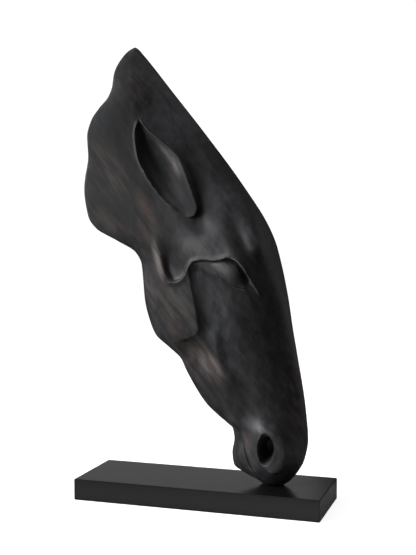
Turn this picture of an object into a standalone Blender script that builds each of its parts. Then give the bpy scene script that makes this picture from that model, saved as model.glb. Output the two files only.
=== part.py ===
"""A horse's head in dark cast resin, standing nose down on a flat rectangular base.

X runs along the base towards the horse's forehead, Y runs across it and Z is up.  The origin is
the middle of the base's underside, and the head is the same on both sides of the plane Y = 0.
The head is a loft of level cross-sections: each has its own back, front and widths, and the
carving is a relief on the flanks.  Its form is given in shares of its own height, measured
forwards and upwards from the middle of the muzzle, where it stands on the base.
"""

import math

import bpy
import numpy as np

# Driving sizes in metres
OVERALL_HEIGHT = 0.5994
BASE_LENGTH = 0.331
BASE_DEPTH = 0.1143
BASE_THICKNESS = 0.028
BASE_EDGE_ROUND = 0.0012
HEAD_THICKNESS = 0.100
MUZZLE_INSET = 0.0718
SEAT_GAP = 0.0003

# Fineness of the loft, and the share of its faces that the finished solid keeps
ROWS = 300
COLUMNS = 150
SECTION_STEPS = 60
CURVE_STEPS = 8
KEPT_SHARE = 0.05
MERGE_DISTANCE = 0.00002
EDGE_SEGMENTS = 3

# Colours and finishes
PATINA_COLOUR = (0.030, 0.027, 0.026, 1.0)
PATINA_ROUGHNESS = 0.42
SATIN_BLACK = (0.020, 0.020, 0.021, 1.0)
SATIN_ROUGHNESS = 0.38

# Outline in side view: (height, forward), from the seat up to the peak of the neck
BACK_LINE = (
    (0.000, -0.028), (0.010, -0.042), (0.022, -0.068), (0.040, -0.095), (0.068, -0.099),
    (0.100, -0.094), (0.124, -0.098), (0.137, -0.113), (0.153, -0.136), (0.178, -0.166),
    (0.204, -0.185), (0.257, -0.212), (0.283, -0.222), (0.309, -0.250), (0.336, -0.280),
    (0.363, -0.291), (0.417, -0.302), (0.499, -0.306), (0.526, -0.318), (0.553, -0.362),
    (0.580, -0.409), (0.608, -0.428), (0.670, -0.437), (0.700, -0.434), (0.722, -0.429),
    (0.745, -0.426), (0.790, -0.428), (0.828, -0.417), (0.854, -0.399), (0.881, -0.377),
    (0.907, -0.370), (0.934, -0.371), (0.960, -0.366), (0.980, -0.357), (0.992, -0.347),
    (0.998, -0.340), (1.000, -0.336),
)
FRONT_LINE = (
    (0.000, 0.022), (0.010, 0.036), (0.030, 0.053), (0.060, 0.069), (0.105, 0.077),
    (0.180, 0.071), (0.300, 0.051), (0.360, 0.040), (0.420, 0.030), (0.520, 0.006),
    (0.560, -0.007), (0.600, -0.026), (0.680, -0.077), (0.800, -0.168), (0.900, -0.249),
    (0.970, -0.306), (0.988, -0.322), (0.997, -0.330), (1.000, -0.335),
)

# Half widths at the back, the middle and the front of each section, in shares of half the
# head's thickness: (height, share)
BACK_WIDTH = (
    (0.00, 0.10), (0.01, 0.22), (0.03, 0.33), (0.06, 0.41), (0.11, 0.46), (0.20, 0.46),
    (0.30, 0.56), (0.40, 0.70), (0.50, 0.78), (0.60, 0.96), (0.80, 0.94), (0.90, 0.80),
    (0.96, 0.52), (0.99, 0.28), (1.00, 0.06),
)
MIDDLE_WIDTH = (
    (0.00, 0.14), (0.01, 0.36), (0.03, 0.53), (0.06, 0.65), (0.10, 0.70), (0.16, 0.66),
    (0.25, 0.74), (0.35, 0.88), (0.48, 0.97), (0.60, 0.94), (0.75, 0.87), (0.90, 0.72),
    (0.96, 0.48), (0.99, 0.28), (1.00, 0.06),
)
FRONT_WIDTH = (
    (0.00, 0.10), (0.01, 0.27), (0.03, 0.41), (0.06, 0.51), (0.11, 0.58), (0.20, 0.56),
    (0.30, 0.66), (0.40, 0.84), (0.50, 1.00), (0.58, 0.86), (0.70, 0.62), (0.85, 0.48),
    (0.96, 0.36), (0.99, 0.24), (1.00, 0.06),
)

# Where the flank starts and ends between the rounded back and front, as a share of the
# section's length, and how square those roundings are: (height, value)
BACK_ROUND = (
    (0.00, 0.50), (0.10, 0.42), (0.20, 0.24), (0.35, 0.12), (0.50, 0.08), (0.60, 0.03),
    (0.86, 0.04), (0.95, 0.12), (1.00, 0.50),
)
BACK_SQUARENESS = ((0.00, 2.0), (0.14, 2.0), (0.30, 2.6), (0.55, 3.2), (0.90, 3.2), (1.00, 2.0))
FRONT_ROUND = (
    (0.00, 0.50), (0.10, 0.46), (0.20, 0.46), (0.30, 0.46), (0.38, 0.40), (0.46, 0.33),
    (0.52, 0.28), (0.60, 0.24), (0.68, 0.34), (0.78, 0.50), (0.90, 0.56), (1.00, 0.50),
)
FRONT_SQUARENESS = (
    (0.00, 2.0), (0.12, 2.1), (0.25, 2.0), (0.40, 2.1), (0.52, 2.2), (0.60, 2.3), (0.70, 1.9),
    (0.85, 1.7), (1.00, 2.0),
)

# Depth of the hollow down the back, between the jaw's two bars and in the cut of the neck,
# in shares of the head's height: (height, share)
BACK_HOLLOW = (
    (0.00, 0.000), (0.13, 0.000), (0.18, 0.012), (0.30, 0.034), (0.44, 0.044), (0.54, 0.030),
    (0.62, 0.014), (0.86, 0.014), (0.95, 0.004), (1.00, 0.000),
)
HOLLOW_SPREAD_SHARE = 0.86
HOLLOW_FADE_SHARE = 0.2

# Carving on the flanks.  Lines and places are (forward, up) in shares of the head's height,
# widths and reaches too; rises and depths are shares of half the head's thickness.
LINE_REACH_SHARE = 0.12
JAW_REACH_SHARE = 0.20
EAR_REACH_SHARE = 0.30
EAR_REAR = (
    (-0.301, 0.829), (-0.306, 0.812), (-0.308, 0.795), (-0.306, 0.774), (-0.302, 0.751),
    (-0.295, 0.729), (-0.283, 0.706), (-0.267, 0.681), (-0.247, 0.656), (-0.226, 0.635),
    (-0.211, 0.624), (-0.200, 0.615),
)
EAR_FORE = (
    (-0.301, 0.829), (-0.290, 0.815), (-0.276, 0.799), (-0.259, 0.786), (-0.239, 0.770),
    (-0.220, 0.754), (-0.205, 0.739), (-0.196, 0.722), (-0.187, 0.702), (-0.177, 0.678),
    (-0.167, 0.653), (-0.160, 0.632),
)
EAR_FORE_RUN_ON = ((-0.156, 0.605), (-0.156, 0.585))
EAR_ROUND_FOOT = (
    (-0.160, 0.620), (-0.165, 0.611), (-0.173, 0.607), (-0.182, 0.607), (-0.191, 0.610),
    (-0.200, 0.615),
)
EAR_FOOT = (-0.177, 0.607)
EAR_RIM_RISE = (
    (0.00, 0.00), (0.10, 0.04), (0.28, 0.10), (0.48, 0.13), (0.72, 0.10), (0.90, 0.07),
    (1.00, 0.05),
)
EAR_DEPTH = (
    (0.00, 0.00), (0.08, 0.13), (0.25, 0.30), (0.45, 0.36), (0.62, 0.28), (0.78, 0.14),
    (0.90, 0.05), (1.00, 0.00),
)
EAR_DITCH = (
    (0.00, 0.00), (0.34, 0.00), (0.46, 0.08), (0.62, 0.13), (0.76, 0.14), (0.86, 0.09),
    (0.92, 0.01), (1.00, 0.00),
)
EAR_SINK = (
    (0.00, 0.30), (0.18, 0.62), (0.36, 0.94), (0.46, 1.00), (0.62, 0.82), (0.82, 0.37),
    (1.00, 0.00),
)
EAR_LIFT = ((0.00, 0.00), (0.35, 0.08), (0.60, 0.38), (0.80, 0.70), (1.00, 1.00))
EAR_CLIFF_SHARE = 0.0028
EAR_WALL_SHARE = 0.0085
EAR_DITCH_SHARE = 0.075
EAR_BEAD_RISE = 0.013
BROW_LINE = (
    (-0.185, 0.479), (-0.178, 0.494), (-0.169, 0.506), (-0.156, 0.511), (-0.134, 0.512),
    (-0.114, 0.511), (-0.097, 0.515), (-0.083, 0.518), (-0.070, 0.514), (-0.059, 0.506),
    (-0.048, 0.492), (-0.037, 0.472), (-0.026, 0.451), (-0.017, 0.435), (-0.004, 0.416),
)
BROW_BEAD_RISE = 0.022
BROW_BONE_RISE = 0.090
BROW_BONE_SHARE = 0.050
SOCKET_SHALLOW_DEPTH = 0.006
SOCKET_DEEP_DEPTH = 0.092
EYE_MIDDLE = (-0.083, 0.482)
EYE_LENGTH_SHARE = 0.046
EYE_WIDTH_SHARE = 0.024
EYE_TURN = math.radians(-38)
EYE_RISE = 0.080
LID_CREASE = (
    (-0.128, 0.503), (-0.108, 0.507), (-0.090, 0.509), (-0.074, 0.506), (-0.061, 0.496),
    (-0.048, 0.476), (-0.036, 0.454),
)
LID_CREASE_DEPTH = 0.040
LID_WEDGE_DEPTH = 0.036
LASH_LINE = ((-0.112, 0.484), (-0.098, 0.469), (-0.081, 0.457), (-0.062, 0.451), (-0.036, 0.449))
LASH_DEPTH = 0.026
FINE_LINE_SHARE = 0.0024
TEMPLE_REAR = (
    (-0.254, 0.592), (-0.253, 0.563), (-0.252, 0.537), (-0.248, 0.512), (-0.241, 0.488),
    (-0.230, 0.466), (-0.218, 0.450),
)
TEMPLE_SHELF = (
    (-0.240, 0.470), (-0.227, 0.461), (-0.211, 0.460), (-0.197, 0.466), (-0.187, 0.477),
    (-0.178, 0.494), (-0.166, 0.507),
)
TEMPLE_MIDDLE = (-0.228, 0.484)
TEMPLE_LENGTH_SHARE = 0.050
TEMPLE_WIDTH_SHARE = 0.036
TEMPLE_TURN = math.radians(-66)
TEMPLE_DEPTH = 0.080
TEMPLE_REAR_RISE = 0.054
TEMPLE_SHELF_RISE = 0.022
JAW_EDGE = (
    (-0.180, 0.500), (-0.176, 0.475), (-0.170, 0.443), (-0.165, 0.416), (-0.161, 0.394),
    (-0.158, 0.372), (-0.157, 0.354), (-0.163, 0.344), (-0.176, 0.337), (-0.192, 0.331),
    (-0.208, 0.325), (-0.228, 0.318),
)
JAW_DEPTH = 0.125
CHEEK_RIDGE = (
    (-0.130, 0.375), (-0.125, 0.358), (-0.122, 0.344), (-0.120, 0.322), (-0.116, 0.294),
    (-0.106, 0.268), (-0.093, 0.246), (-0.074, 0.208), (-0.056, 0.168),
)
CHEEK_RIDGE_RISE = 0.080
CHEEK_REAR_SHARE = 0.036
CHEEK_FORE_SHARE = 0.016
CHEEK_FALL_DEPTH = 0.024
FOREHEAD_RIDGE = (
    (-0.087, 0.682), (-0.066, 0.643), (-0.050, 0.616), (-0.033, 0.585), (-0.020, 0.554),
    (-0.012, 0.528), (-0.007, 0.503),
)
FOREHEAD_RIDGE_RISE = 0.130
FOREHEAD_REAR_SHARE = 0.027
FOREHEAD_FORE_SHARE = 0.014
FOREHEAD_FALL_DEPTH = 0.010
NOSTRIL_MIDDLE = (-0.005, 0.092)
NOSTRIL_LENGTH_SHARE = 0.035
NOSTRIL_WIDTH_SHARE = 0.0185
NOSTRIL_TURN = math.radians(86)
NOSTRIL_DEPTH = 0.50
WING_MIDDLE = (0.007, 0.087)
WING_LENGTH_SHARE = 0.048
WING_WIDTH_SHARE = 0.0275
WING_TURN = math.radians(99)
WING_RISE = 0.110
MOUTH_LINE = ((-0.067, 0.120), (-0.059, 0.093), (-0.050, 0.065), (-0.039, 0.042), (-0.024, 0.016))
MOUTH_DEPTH = 0.050
MOUTH_WIDTH_SHARE = 0.0030

# Soft swellings and hollows on the flanks: middle, half length, half width, turn of the long
# way from level in degrees, and rise
SOFT_FORMS = (
    ((-0.056, 0.550), 0.062, 0.017, -62, -0.100),
    ((-0.130, 0.560), 0.050, 0.030, -20, 0.030),
    ((-0.152, 0.592), 0.032, 0.020, -35, -0.045),
    ((-0.162, 0.290), 0.044, 0.020, -55, -0.105),
    ((-0.186, 0.262), 0.060, 0.010, -58, 0.030),
    ((-0.078, 0.390), 0.080, 0.030, -80, 0.030),
    ((-0.008, 0.127), 0.034, 0.027, -20, 0.135),
    ((-0.050, 0.155), 0.050, 0.022, -60, -0.040),
    ((-0.080, 0.075), 0.030, 0.016, -80, 0.050),
    ((-0.330, 0.700), 0.110, 0.030, -60, 0.020),
    ((-0.366, 0.585), 0.070, 0.034, -35, -0.035),
    ((-0.385, 0.805), 0.070, 0.050, -70, 0.030),
)


def smooth_through(stations, at):
    """Read a smooth curve without overshoot through (place, value) stations at given places."""
    place, value = np.array(stations, dtype=float).T
    step = np.diff(place)
    slope = np.diff(value) / step
    tangent = np.zeros_like(value)
    tangent[0], tangent[-1] = slope[0], slope[-1]
    same_way = slope[:-1] * slope[1:] > 0
    near, far = slope[:-1][same_way], slope[1:][same_way]
    before, after = step[:-1][same_way], step[1:][same_way]
    lean = 2 * after + before, after + 2 * before
    tangent[1:-1][same_way] = sum(lean) / (lean[0] / near + lean[1] / far)
    at = np.clip(at, place[0], place[-1])
    span = np.clip(np.searchsorted(place, at, side="right") - 1, 0, len(step) - 1)
    along = (at - place[span]) / step[span]
    rise = ramp(along, 0, 1)
    start_pull = step[span] * tangent[span] * along * (1 - along) ** 2
    end_pull = step[span] * tangent[span + 1] * along ** 2 * (1 - along)
    return value[span] * (1 - rise) + value[span + 1] * rise + start_pull - end_pull


def ramp(value, low, high):
    """Rise smoothly from 0 at low to 1 at high."""
    share = np.clip((value - low) / (high - low), 0.0, 1.0)
    return share ** 2 * (3 - 2 * share)


def bell(distance, width):
    """Fall smoothly from 1 at no distance to almost 0 at twice the width."""
    return np.exp(-((distance / width) ** 2))


def slump(distance, reach):
    """Step sharply off an edge at no distance and level out past the reach."""
    return 1 - np.exp(-np.maximum(distance, 0.0) / reach)


def curve_points(corners):
    """Round a line of hand-placed corners into a smooth open curve through them."""
    corners = np.array(corners, dtype=float)
    reach = np.vstack([2 * corners[0] - corners[1], corners, 2 * corners[-1] - corners[-2]])
    share = np.linspace(0.0, 1.0, CURVE_STEPS, endpoint=False)[:, None]
    pieces = []
    for before, start, end, after in zip(reach, reach[1:], reach[2:], reach[3:]):
        pull_out, pull_in = (end - before) / 2, (after - start) / 2
        rise = ramp(share, 0, 1)
        bend = share * (1 - share) ** 2 * pull_out - share ** 2 * (1 - share) * pull_in
        pieces.append(start * (1 - rise) + end * rise + bend)
    return np.vstack(pieces + [corners[-1:]])


def measure_line(forward, up, corners, reach=LINE_REACH_SHARE):
    """Measure points against a carved line.

    Returns the signed distance, positive on the right of the line's direction, and the place
    along it, which runs from 0 to 1.  Points further off than its reach get place 0.
    """
    line = curve_points(corners)
    low, high = line.min(axis=0) - reach, line.max(axis=0) + reach
    near = (forward > low[0]) & (forward < high[0]) & (up > low[1]) & (up < high[1])
    near_x, near_z = forward[near], up[near]
    best = np.full(near_x.shape, reach)
    side = np.ones_like(best)
    place = np.zeros_like(best)
    lengths = np.hypot(*np.diff(line, axis=0).T)
    starts = np.concatenate([[0.0], np.cumsum(lengths)])
    for (from_x, from_z), (to_x, to_z), length, start in zip(line, line[1:], lengths, starts):
        way_x, way_z = (to_x - from_x) / length, (to_z - from_z) / length
        off_x, off_z = near_x - from_x, near_z - from_z
        run = np.clip(off_x * way_x + off_z * way_z, 0.0, length)
        gap = np.hypot(off_x - run * way_x, off_z - run * way_z)
        nearer = gap < best
        best[nearer] = gap[nearer]
        side[nearer] = np.where(off_x * way_z - off_z * way_x >= 0, 1.0, -1.0)[nearer]
        place[nearer] = ((start + run) / starts[-1])[nearer]
    all_signed, all_place = np.full(forward.shape, reach), np.zeros(forward.shape)
    all_signed[near], all_place[near] = side * best, place
    return all_signed, all_place


def fade_ends(place, opening, closing):
    """Fade a carved line in over its first share and out over its last share."""
    return ramp(place, -0.001, opening) * (1 - ramp(place, 1 - closing, 1.001))


def turned_offset(forward, up, middle, turn):
    """Measure points from a middle, across and along a direction turned up from level."""
    off_x, off_z = forward - middle[0], up - middle[1]
    along = off_x * math.cos(turn) + off_z * math.sin(turn)
    aside = off_z * math.cos(turn) - off_x * math.sin(turn)
    return aside, along


def ear_relief(forward, up):
    """A leaf-shaped ear: a cliff at its rear edge, a deep floor and a rim that stands proud."""
    before_rear, rear_place = measure_line(forward, up, EAR_REAR, EAR_REACH_SHARE)
    within_rim, rim_place = measure_line(forward, up, EAR_FORE + EAR_ROUND_FOOT, EAR_REACH_SHARE)
    to_fore, _ = measure_line(forward, up, EAR_FORE + EAR_FORE_RUN_ON, EAR_REACH_SHARE)
    from_rear, from_rim = -before_rear, -within_rim
    inside = (from_rear > 0) & (from_rim < 0)
    tip = EAR_REAR[0]
    axis = np.subtract(EAR_FOOT, tip)
    way = axis / np.dot(axis, axis)
    place = np.clip((forward - tip[0]) * way[0] + (up - tip[1]) * way[1], 0.0, 1.0)
    share = np.abs(from_rear) / np.maximum(np.abs(from_rear) + np.abs(to_fore), 1e-6)
    rim = smooth_through(EAR_RIM_RISE, place) * smooth_through(EAR_LIFT, share)
    sunk = smooth_through(EAR_DEPTH, place) * smooth_through(EAR_SINK, share)
    scoop = rim - sunk * slump(from_rear, EAR_CLIFF_SHARE)
    wall = 1 - ramp(from_rim, 0.0, EAR_WALL_SHARE)
    ditch = -smooth_through(EAR_DITCH, rim_place) * ramp(from_rim, 0.000, EAR_WALL_SHARE)
    ditch *= 1 - ramp(from_rim, 0.008, EAR_DITCH_SHARE)
    outside = np.where(from_rim > 0, rim * wall + ditch, 0.0)
    edge = EAR_BEAD_RISE * bell(from_rear, 0.0035) * fade_ends(rear_place, 0.05, 0.06)
    return np.where(inside, scoop, outside) + np.where(from_rim < 0, edge, 0.0)


def brow_relief(forward, up):
    """The crisp ridge over the eye, with the socket under it, running on down towards the nose."""
    below, place = measure_line(forward, up, BROW_LINE)
    above = np.maximum(-below, 0.0)
    ledge = 1 - ramp(below, 0.0, 0.0045)
    at_eye = ramp(forward, -0.11, -0.05)
    bone = BROW_BONE_RISE * (0.45 + 0.55 * at_eye) * bell(above, BROW_BONE_SHARE) * ledge
    bead = BROW_BEAD_RISE * np.where(below > 0, bell(below, 0.0022), bell(below, 0.006))
    depth = SOCKET_SHALLOW_DEPTH * (1 - at_eye) + SOCKET_DEEP_DEPTH * at_eye
    recovery = 0.060 - 0.036 * at_eye
    socket = -depth * ramp(below, 0.000, 0.005) * (1 - ramp(below, 0.007, recovery))
    start = ramp(forward, -0.192, -0.165)
    return fade_ends(place, 0.14, 0.40) * (bead + bone + socket * start)


def eye_relief(forward, up):
    """A closed eye: the swelling of the lid between its crease and the lash line."""
    aside, along = turned_offset(forward, up, EYE_MIDDLE, EYE_TURN)
    reach = np.hypot(along / EYE_LENGTH_SHARE, aside / EYE_WIDTH_SHARE)
    lid = EYE_RISE * (1 - ramp(reach, 0.20, 1.15))
    from_crease, place = measure_line(forward, up, LID_CREASE)
    wedge = ramp(place, 0.40, 0.80)
    crease = (LID_CREASE_DEPTH + LID_WEDGE_DEPTH * wedge) * fade_ends(place, 0.25, 0.15)
    crease *= bell(from_crease, FINE_LINE_SHARE * (1 + wedge))
    from_lashes, place = measure_line(forward, up, LASH_LINE)
    lashes = LASH_DEPTH * bell(from_lashes, FINE_LINE_SHARE) * fade_ends(place, 0.30, 0.10)
    return lid - crease - lashes


def temple_relief(forward, up):
    """The hollow of the temple, sharp along its rear and lower edges and open forwards."""
    outside, rear_place = measure_line(forward, up, TEMPLE_REAR)
    below, shelf_place = measure_line(forward, up, TEMPLE_SHELF)
    aside, along = turned_offset(forward, up, TEMPLE_MIDDLE, TEMPLE_TURN)
    reach = np.hypot(along / TEMPLE_LENGTH_SHARE, aside / TEMPLE_WIDTH_SHARE)
    softness = ramp(up, 0.480, 0.560)
    floor = ramp(-outside, 0.001, 0.014 + 0.026 * softness) * ramp(-below, -0.001, 0.010)
    hollow = TEMPLE_DEPTH * floor * bell(reach, 1.0)
    inner_width = 0.0080 + 0.010 * softness
    rear_rim = np.where(outside < 0, bell(outside, inner_width), bell(outside, 0.014))
    shelf_rim = np.where(below < 0, bell(below, 0.0025), bell(below, 0.008))
    return (TEMPLE_REAR_RISE * rear_rim * fade_ends(rear_place, 0.60, 0.20)
            + TEMPLE_SHELF_RISE * shelf_rim * fade_ends(shelf_place, 0.25, 0.20) - hollow)


def jaw_relief(forward, up):
    """The flat plate of the jaw: a groove runs down before it and turns back under its foot."""
    inside, place = measure_line(forward, up, JAW_EDGE, JAW_REACH_SHARE)
    outside = -inside
    beside = 1 - ramp(place, 0.60, 0.86)
    opened = ramp(place, 0.02, 0.42)
    recovery = 0.036 + 0.024 * opened + 0.100 * beside * opened
    fall = slump(outside + 0.001, 0.0075 + 0.0065 * beside)
    rise = 1 - ramp(outside, 0.010 + 0.010 * beside * opened, recovery)
    return -JAW_DEPTH * fade_ends(place, 0.08, 0.22) * fall * rise


def ridge_relief(behind, place, rise, rear_width, fore_width, fall_depth):
    """A long ridge: a gentle rise behind its crest and a quick fall into a hollow before it."""
    ridge = rise * bell(behind, np.where(behind > 0, rear_width, fore_width))
    fall = fall_depth * ramp(-behind, 0.004, 0.024) * (1 - ramp(-behind, 0.026, 0.085))
    return ridge - fall * ramp(place, 0.20, 0.50)


def cheek_relief(forward, up):
    """The ridge below the jaw, which runs down to the mouth."""
    behind, place = measure_line(forward, up, CHEEK_RIDGE)
    ridge = ridge_relief(behind, place, CHEEK_RIDGE_RISE, CHEEK_REAR_SHARE, CHEEK_FORE_SHARE,
                         CHEEK_FALL_DEPTH)
    return fade_ends(place, 0.26, 0.60) * ridge


def forehead_relief(forward, up):
    """The ridge down the forehead, from before the ear to over the eye."""
    behind, place = measure_line(forward, up, FOREHEAD_RIDGE)
    ridge = ridge_relief(behind, place, FOREHEAD_RIDGE_RISE, FOREHEAD_REAR_SHARE,
                         FOREHEAD_FORE_SHARE, FOREHEAD_FALL_DEPTH)
    return fade_ends(place, 0.60, 0.22) * ridge


def nostril_relief(forward, up):
    """An open nostril with a rolled wing on its front side."""
    aside, along = turned_offset(forward, up, NOSTRIL_MIDDLE, NOSTRIL_TURN)
    reach = np.hypot(along / NOSTRIL_LENGTH_SHARE, aside / NOSTRIL_WIDTH_SHARE)
    hole = -NOSTRIL_DEPTH * (1 - ramp(reach, 0.40, 1.15))
    aside, along = turned_offset(forward, up, WING_MIDDLE, WING_TURN)
    aside, along = aside / WING_WIDTH_SHARE, along / WING_LENGTH_SHARE
    beyond = np.hypot(aside, along) - 1
    before = ramp(-aside - 0.6 * along, -0.60, 0.70)
    crest = bell(beyond, np.where(beyond < 0, 0.42, 0.14))
    return hole + WING_RISE * before * crest


def mouth_relief(forward, up):
    """The fine line of the mouth."""
    behind, place = measure_line(forward, up, MOUTH_LINE)
    return -MOUTH_DEPTH * bell(behind, MOUTH_WIDTH_SHARE) * fade_ends(place, 0.35, 0.0)


def soft_relief(forward, up):
    """The broad soft swellings and hollows of the flank."""
    total = np.zeros_like(forward)
    for middle, half_length, half_width, turn, rise in SOFT_FORMS:
        aside, along = turned_offset(forward, up, middle, math.radians(turn))
        total += rise * bell(np.hypot(along / half_length, aside / half_width), 1.0)
    return total


def flank_relief(forward, up):
    """All the carving on one flank, in shares of half the head's thickness."""
    parts = (ear_relief, brow_relief, eye_relief, temple_relief, jaw_relief, cheek_relief,
             forehead_relief, nostril_relief, mouth_relief, soft_relief)
    return sum(part(forward, up) for part in parts)


def section(up, columns):
    """One level cross-section of the half head, from its back to its front.

    Returns the forward places and the half widths, spaced evenly along the section.
    """
    back, front = smooth_through(BACK_LINE, up), smooth_through(FRONT_LINE, up)
    length = front - back
    back_round, front_round = smooth_through(BACK_ROUND, up), smooth_through(FRONT_ROUND, up)
    back_power = 2 / smooth_through(BACK_SQUARENESS, up)
    front_power = 2 / smooth_through(FRONT_SQUARENESS, up)
    turn = np.linspace(0.0, math.pi / 2, SECTION_STEPS)
    flank = np.linspace(back_round, 1 - front_round, SECTION_STEPS)[1:-1]
    share = np.concatenate([
        back_round * (1 - np.cos(turn) ** back_power),
        flank,
        1 - front_round + front_round * np.sin(turn) ** front_power,
    ])
    rounding = np.concatenate([
        np.sin(turn) ** back_power, np.ones_like(flank), np.cos(turn) ** front_power,
    ])
    rounding[-1] = 0.0
    widths = [smooth_through(table, up) for table in (BACK_WIDTH, MIDDLE_WIDTH, FRONT_WIDTH)]
    full_width = (widths[0] * 2 * (share - 0.5) * (share - 1)
                  + widths[1] * 4 * share * (1 - share)
                  + widths[2] * 2 * share * (share - 0.5))
    half_width = full_width * rounding
    hollow = smooth_through(BACK_HOLLOW, up)
    spread = np.clip(1 - (half_width / (widths[0] * HOLLOW_SPREAD_SHARE)) ** 2, 0.0, 1.0) ** 2
    behind = 1 - ramp(share, back_round, back_round + HOLLOW_FADE_SHARE)
    forward = back + length * share + hollow * spread * behind
    steps = np.hypot(np.diff(forward), np.diff(half_width * HEAD_THICKNESS / 2 / head_height()))
    run = np.concatenate([[0.0], np.cumsum(steps)])
    even = np.linspace(0.0, run[-1], columns)
    return np.interp(even, run, forward), np.interp(even, run, half_width)


def head_height():
    """The head's own height above its seat on the base."""
    return OVERALL_HEIGHT - BASE_THICKNESS - SEAT_GAP


def half_head_points(rows, columns):
    """The points of the half head at positive Y as an array of rows, columns and 3."""
    levels = 0.5 - 0.5 * np.cos(np.linspace(0.0, math.pi, rows))
    levels = 0.25 * levels + 0.75 * np.linspace(0.0, 1.0, rows)
    forward, half_width = np.array([section(up, columns) for up in levels]).transpose(1, 0, 2)
    up = np.repeat(levels[:, None], columns, axis=1)
    carved = half_width + flank_relief(forward, up) * ramp(half_width, 0.05, 0.45)
    carved[:, 0] = 0.0
    carved[:, -1] = 0.0
    height = head_height()
    seat = (BASE_LENGTH / 2 - MUZZLE_INSET, BASE_THICKNESS + SEAT_GAP)
    return np.stack([
        seat[0] + forward * height,
        carved * HEAD_THICKNESS / 2,
        seat[1] + up * height,
    ], axis=2)


def make_head(collection, material):
    """Loft the half head, close its ends, mirror it and thin out its flatter faces."""
    points = half_head_points(ROWS, COLUMNS)
    rows, columns = points.shape[:2]
    number = np.arange(rows * columns).reshape(rows, columns)
    corners = (number[:-1, :-1], number[1:, :-1], number[1:, 1:], number[:-1, 1:])
    faces = np.stack(corners, axis=2).reshape(-1, 4).tolist()
    faces.append(number[0].tolist())
    faces.append(number[-1, ::-1].tolist())
    mesh = bpy.data.meshes.new("horse_head")
    mesh.from_pydata(points.reshape(-1, 3).tolist(), [], faces)
    mesh.materials.append(material)
    mesh.shade_smooth()
    head = bpy.data.objects.new("horse_head", mesh)
    collection.objects.link(head)
    mirror = head.modifiers.new("other side", "MIRROR")
    mirror.use_axis = (False, True, False)
    mirror.merge_threshold = MERGE_DISTANCE
    thin = head.modifiers.new("fewer flat faces", "DECIMATE")
    thin.ratio = KEPT_SHARE
    thin.use_symmetry = True
    thin.symmetry_axis = "Y"
    return head


def make_base(collection, material):
    """The flat rectangular base, with a fine rounding on all its edges."""
    bpy.ops.mesh.primitive_cube_add(size=1, location=(0, 0, BASE_THICKNESS / 2))
    base = bpy.context.object
    base.name = base.data.name = "base"
    base.data.transform(
        ((BASE_LENGTH, 0, 0, 0), (0, BASE_DEPTH, 0, 0), (0, 0, BASE_THICKNESS, 0), (0, 0, 0, 1)))
    base.data.materials.append(material)
    rounding = base.modifiers.new("fine edge", "BEVEL")
    rounding.width = BASE_EDGE_ROUND
    rounding.segments = EDGE_SEGMENTS
    for owner in base.users_collection:
        owner.objects.unlink(base)
    collection.objects.link(base)
    return base


def make_material(name, colour, roughness):
    """A plain finish with the piece's own colour and gloss."""
    material = bpy.data.materials.new(name)
    material.use_nodes = True
    shader = material.node_tree.nodes["Principled BSDF"]
    shader.inputs["Base Color"].default_value = colour
    shader.inputs["Roughness"].default_value = roughness
    shader.inputs["Metallic"].default_value = 0.0
    return material


def clear_scene():
    """Remove what the scene holds before the model is made."""
    for old in list(bpy.data.objects):
        bpy.data.objects.remove(old, do_unlink=True)


def build_sculpture():
    """Make the head and its base in a collection of their own."""
    clear_scene()
    collection = bpy.data.collections.new("horse_sculpture")
    bpy.context.scene.collection.children.link(collection)
    make_base(collection, make_material("satin_black", SATIN_BLACK, SATIN_ROUGHNESS))
    make_head(collection, make_material("dark_patina", PATINA_COLOUR, PATINA_ROUGHNESS))


build_sculpture()
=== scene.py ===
"""The looks of a horse's head in dark patinated resin, standing nose down on a black base.

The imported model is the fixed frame.  The head is rebuilt here as a finer loft with the same
carving as the solid, seated where the solid is, and the base keeps its solid and gets a satin
black finish.  Places on the head are shares of its height, measured forwards and upwards from
the seat of the muzzle over the base.
"""

import logging
import math
from collections.abc import Iterable, Mapping
from dataclasses import dataclass
from enum import Enum
from typing import Protocol

import bpy
import numpy as np
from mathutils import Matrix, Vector


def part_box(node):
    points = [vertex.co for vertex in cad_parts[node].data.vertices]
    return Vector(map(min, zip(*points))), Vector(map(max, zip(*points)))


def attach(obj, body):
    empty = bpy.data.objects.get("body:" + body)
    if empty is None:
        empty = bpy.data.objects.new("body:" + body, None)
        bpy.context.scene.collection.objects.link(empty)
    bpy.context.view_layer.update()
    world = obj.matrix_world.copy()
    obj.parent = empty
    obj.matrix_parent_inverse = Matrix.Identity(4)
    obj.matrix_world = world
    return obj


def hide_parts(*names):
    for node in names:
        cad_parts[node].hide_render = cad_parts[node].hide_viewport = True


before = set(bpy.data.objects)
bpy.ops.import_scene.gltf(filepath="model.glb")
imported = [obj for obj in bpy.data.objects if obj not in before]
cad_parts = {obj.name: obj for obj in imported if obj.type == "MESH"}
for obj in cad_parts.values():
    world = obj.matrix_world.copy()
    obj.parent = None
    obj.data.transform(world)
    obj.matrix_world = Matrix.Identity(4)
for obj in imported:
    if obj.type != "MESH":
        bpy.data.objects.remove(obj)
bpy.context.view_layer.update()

Array = np.ndarray
Point = tuple[float, float]
Triple = tuple[float, float, float]
Stations = tuple[Point, ...]
Colour = tuple[float, float, float, float]

log = logging.getLogger("horse_sculpture")

# The head's own sizes and its place on the base, in metres, as the solid has them
HEAD_HEIGHT = 0.5711
HEAD_THICKNESS = 0.100
SEAT_BACK_FROM_EDGE = 0.0718


class Body(Enum):
    """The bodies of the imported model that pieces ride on."""

    ROOT = "root"


class Slot(Enum):
    """The record's material slots."""

    PATINA = "dark_patina"
    SATIN = "satin_black"


class Fineness(Enum):
    """How fine the head's loft is: rows, columns and the most triangles on one side."""

    TRIAL = (520, 250, 60000)
    FULL = (900, 430, 97000)


# Curves and soft steps


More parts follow.
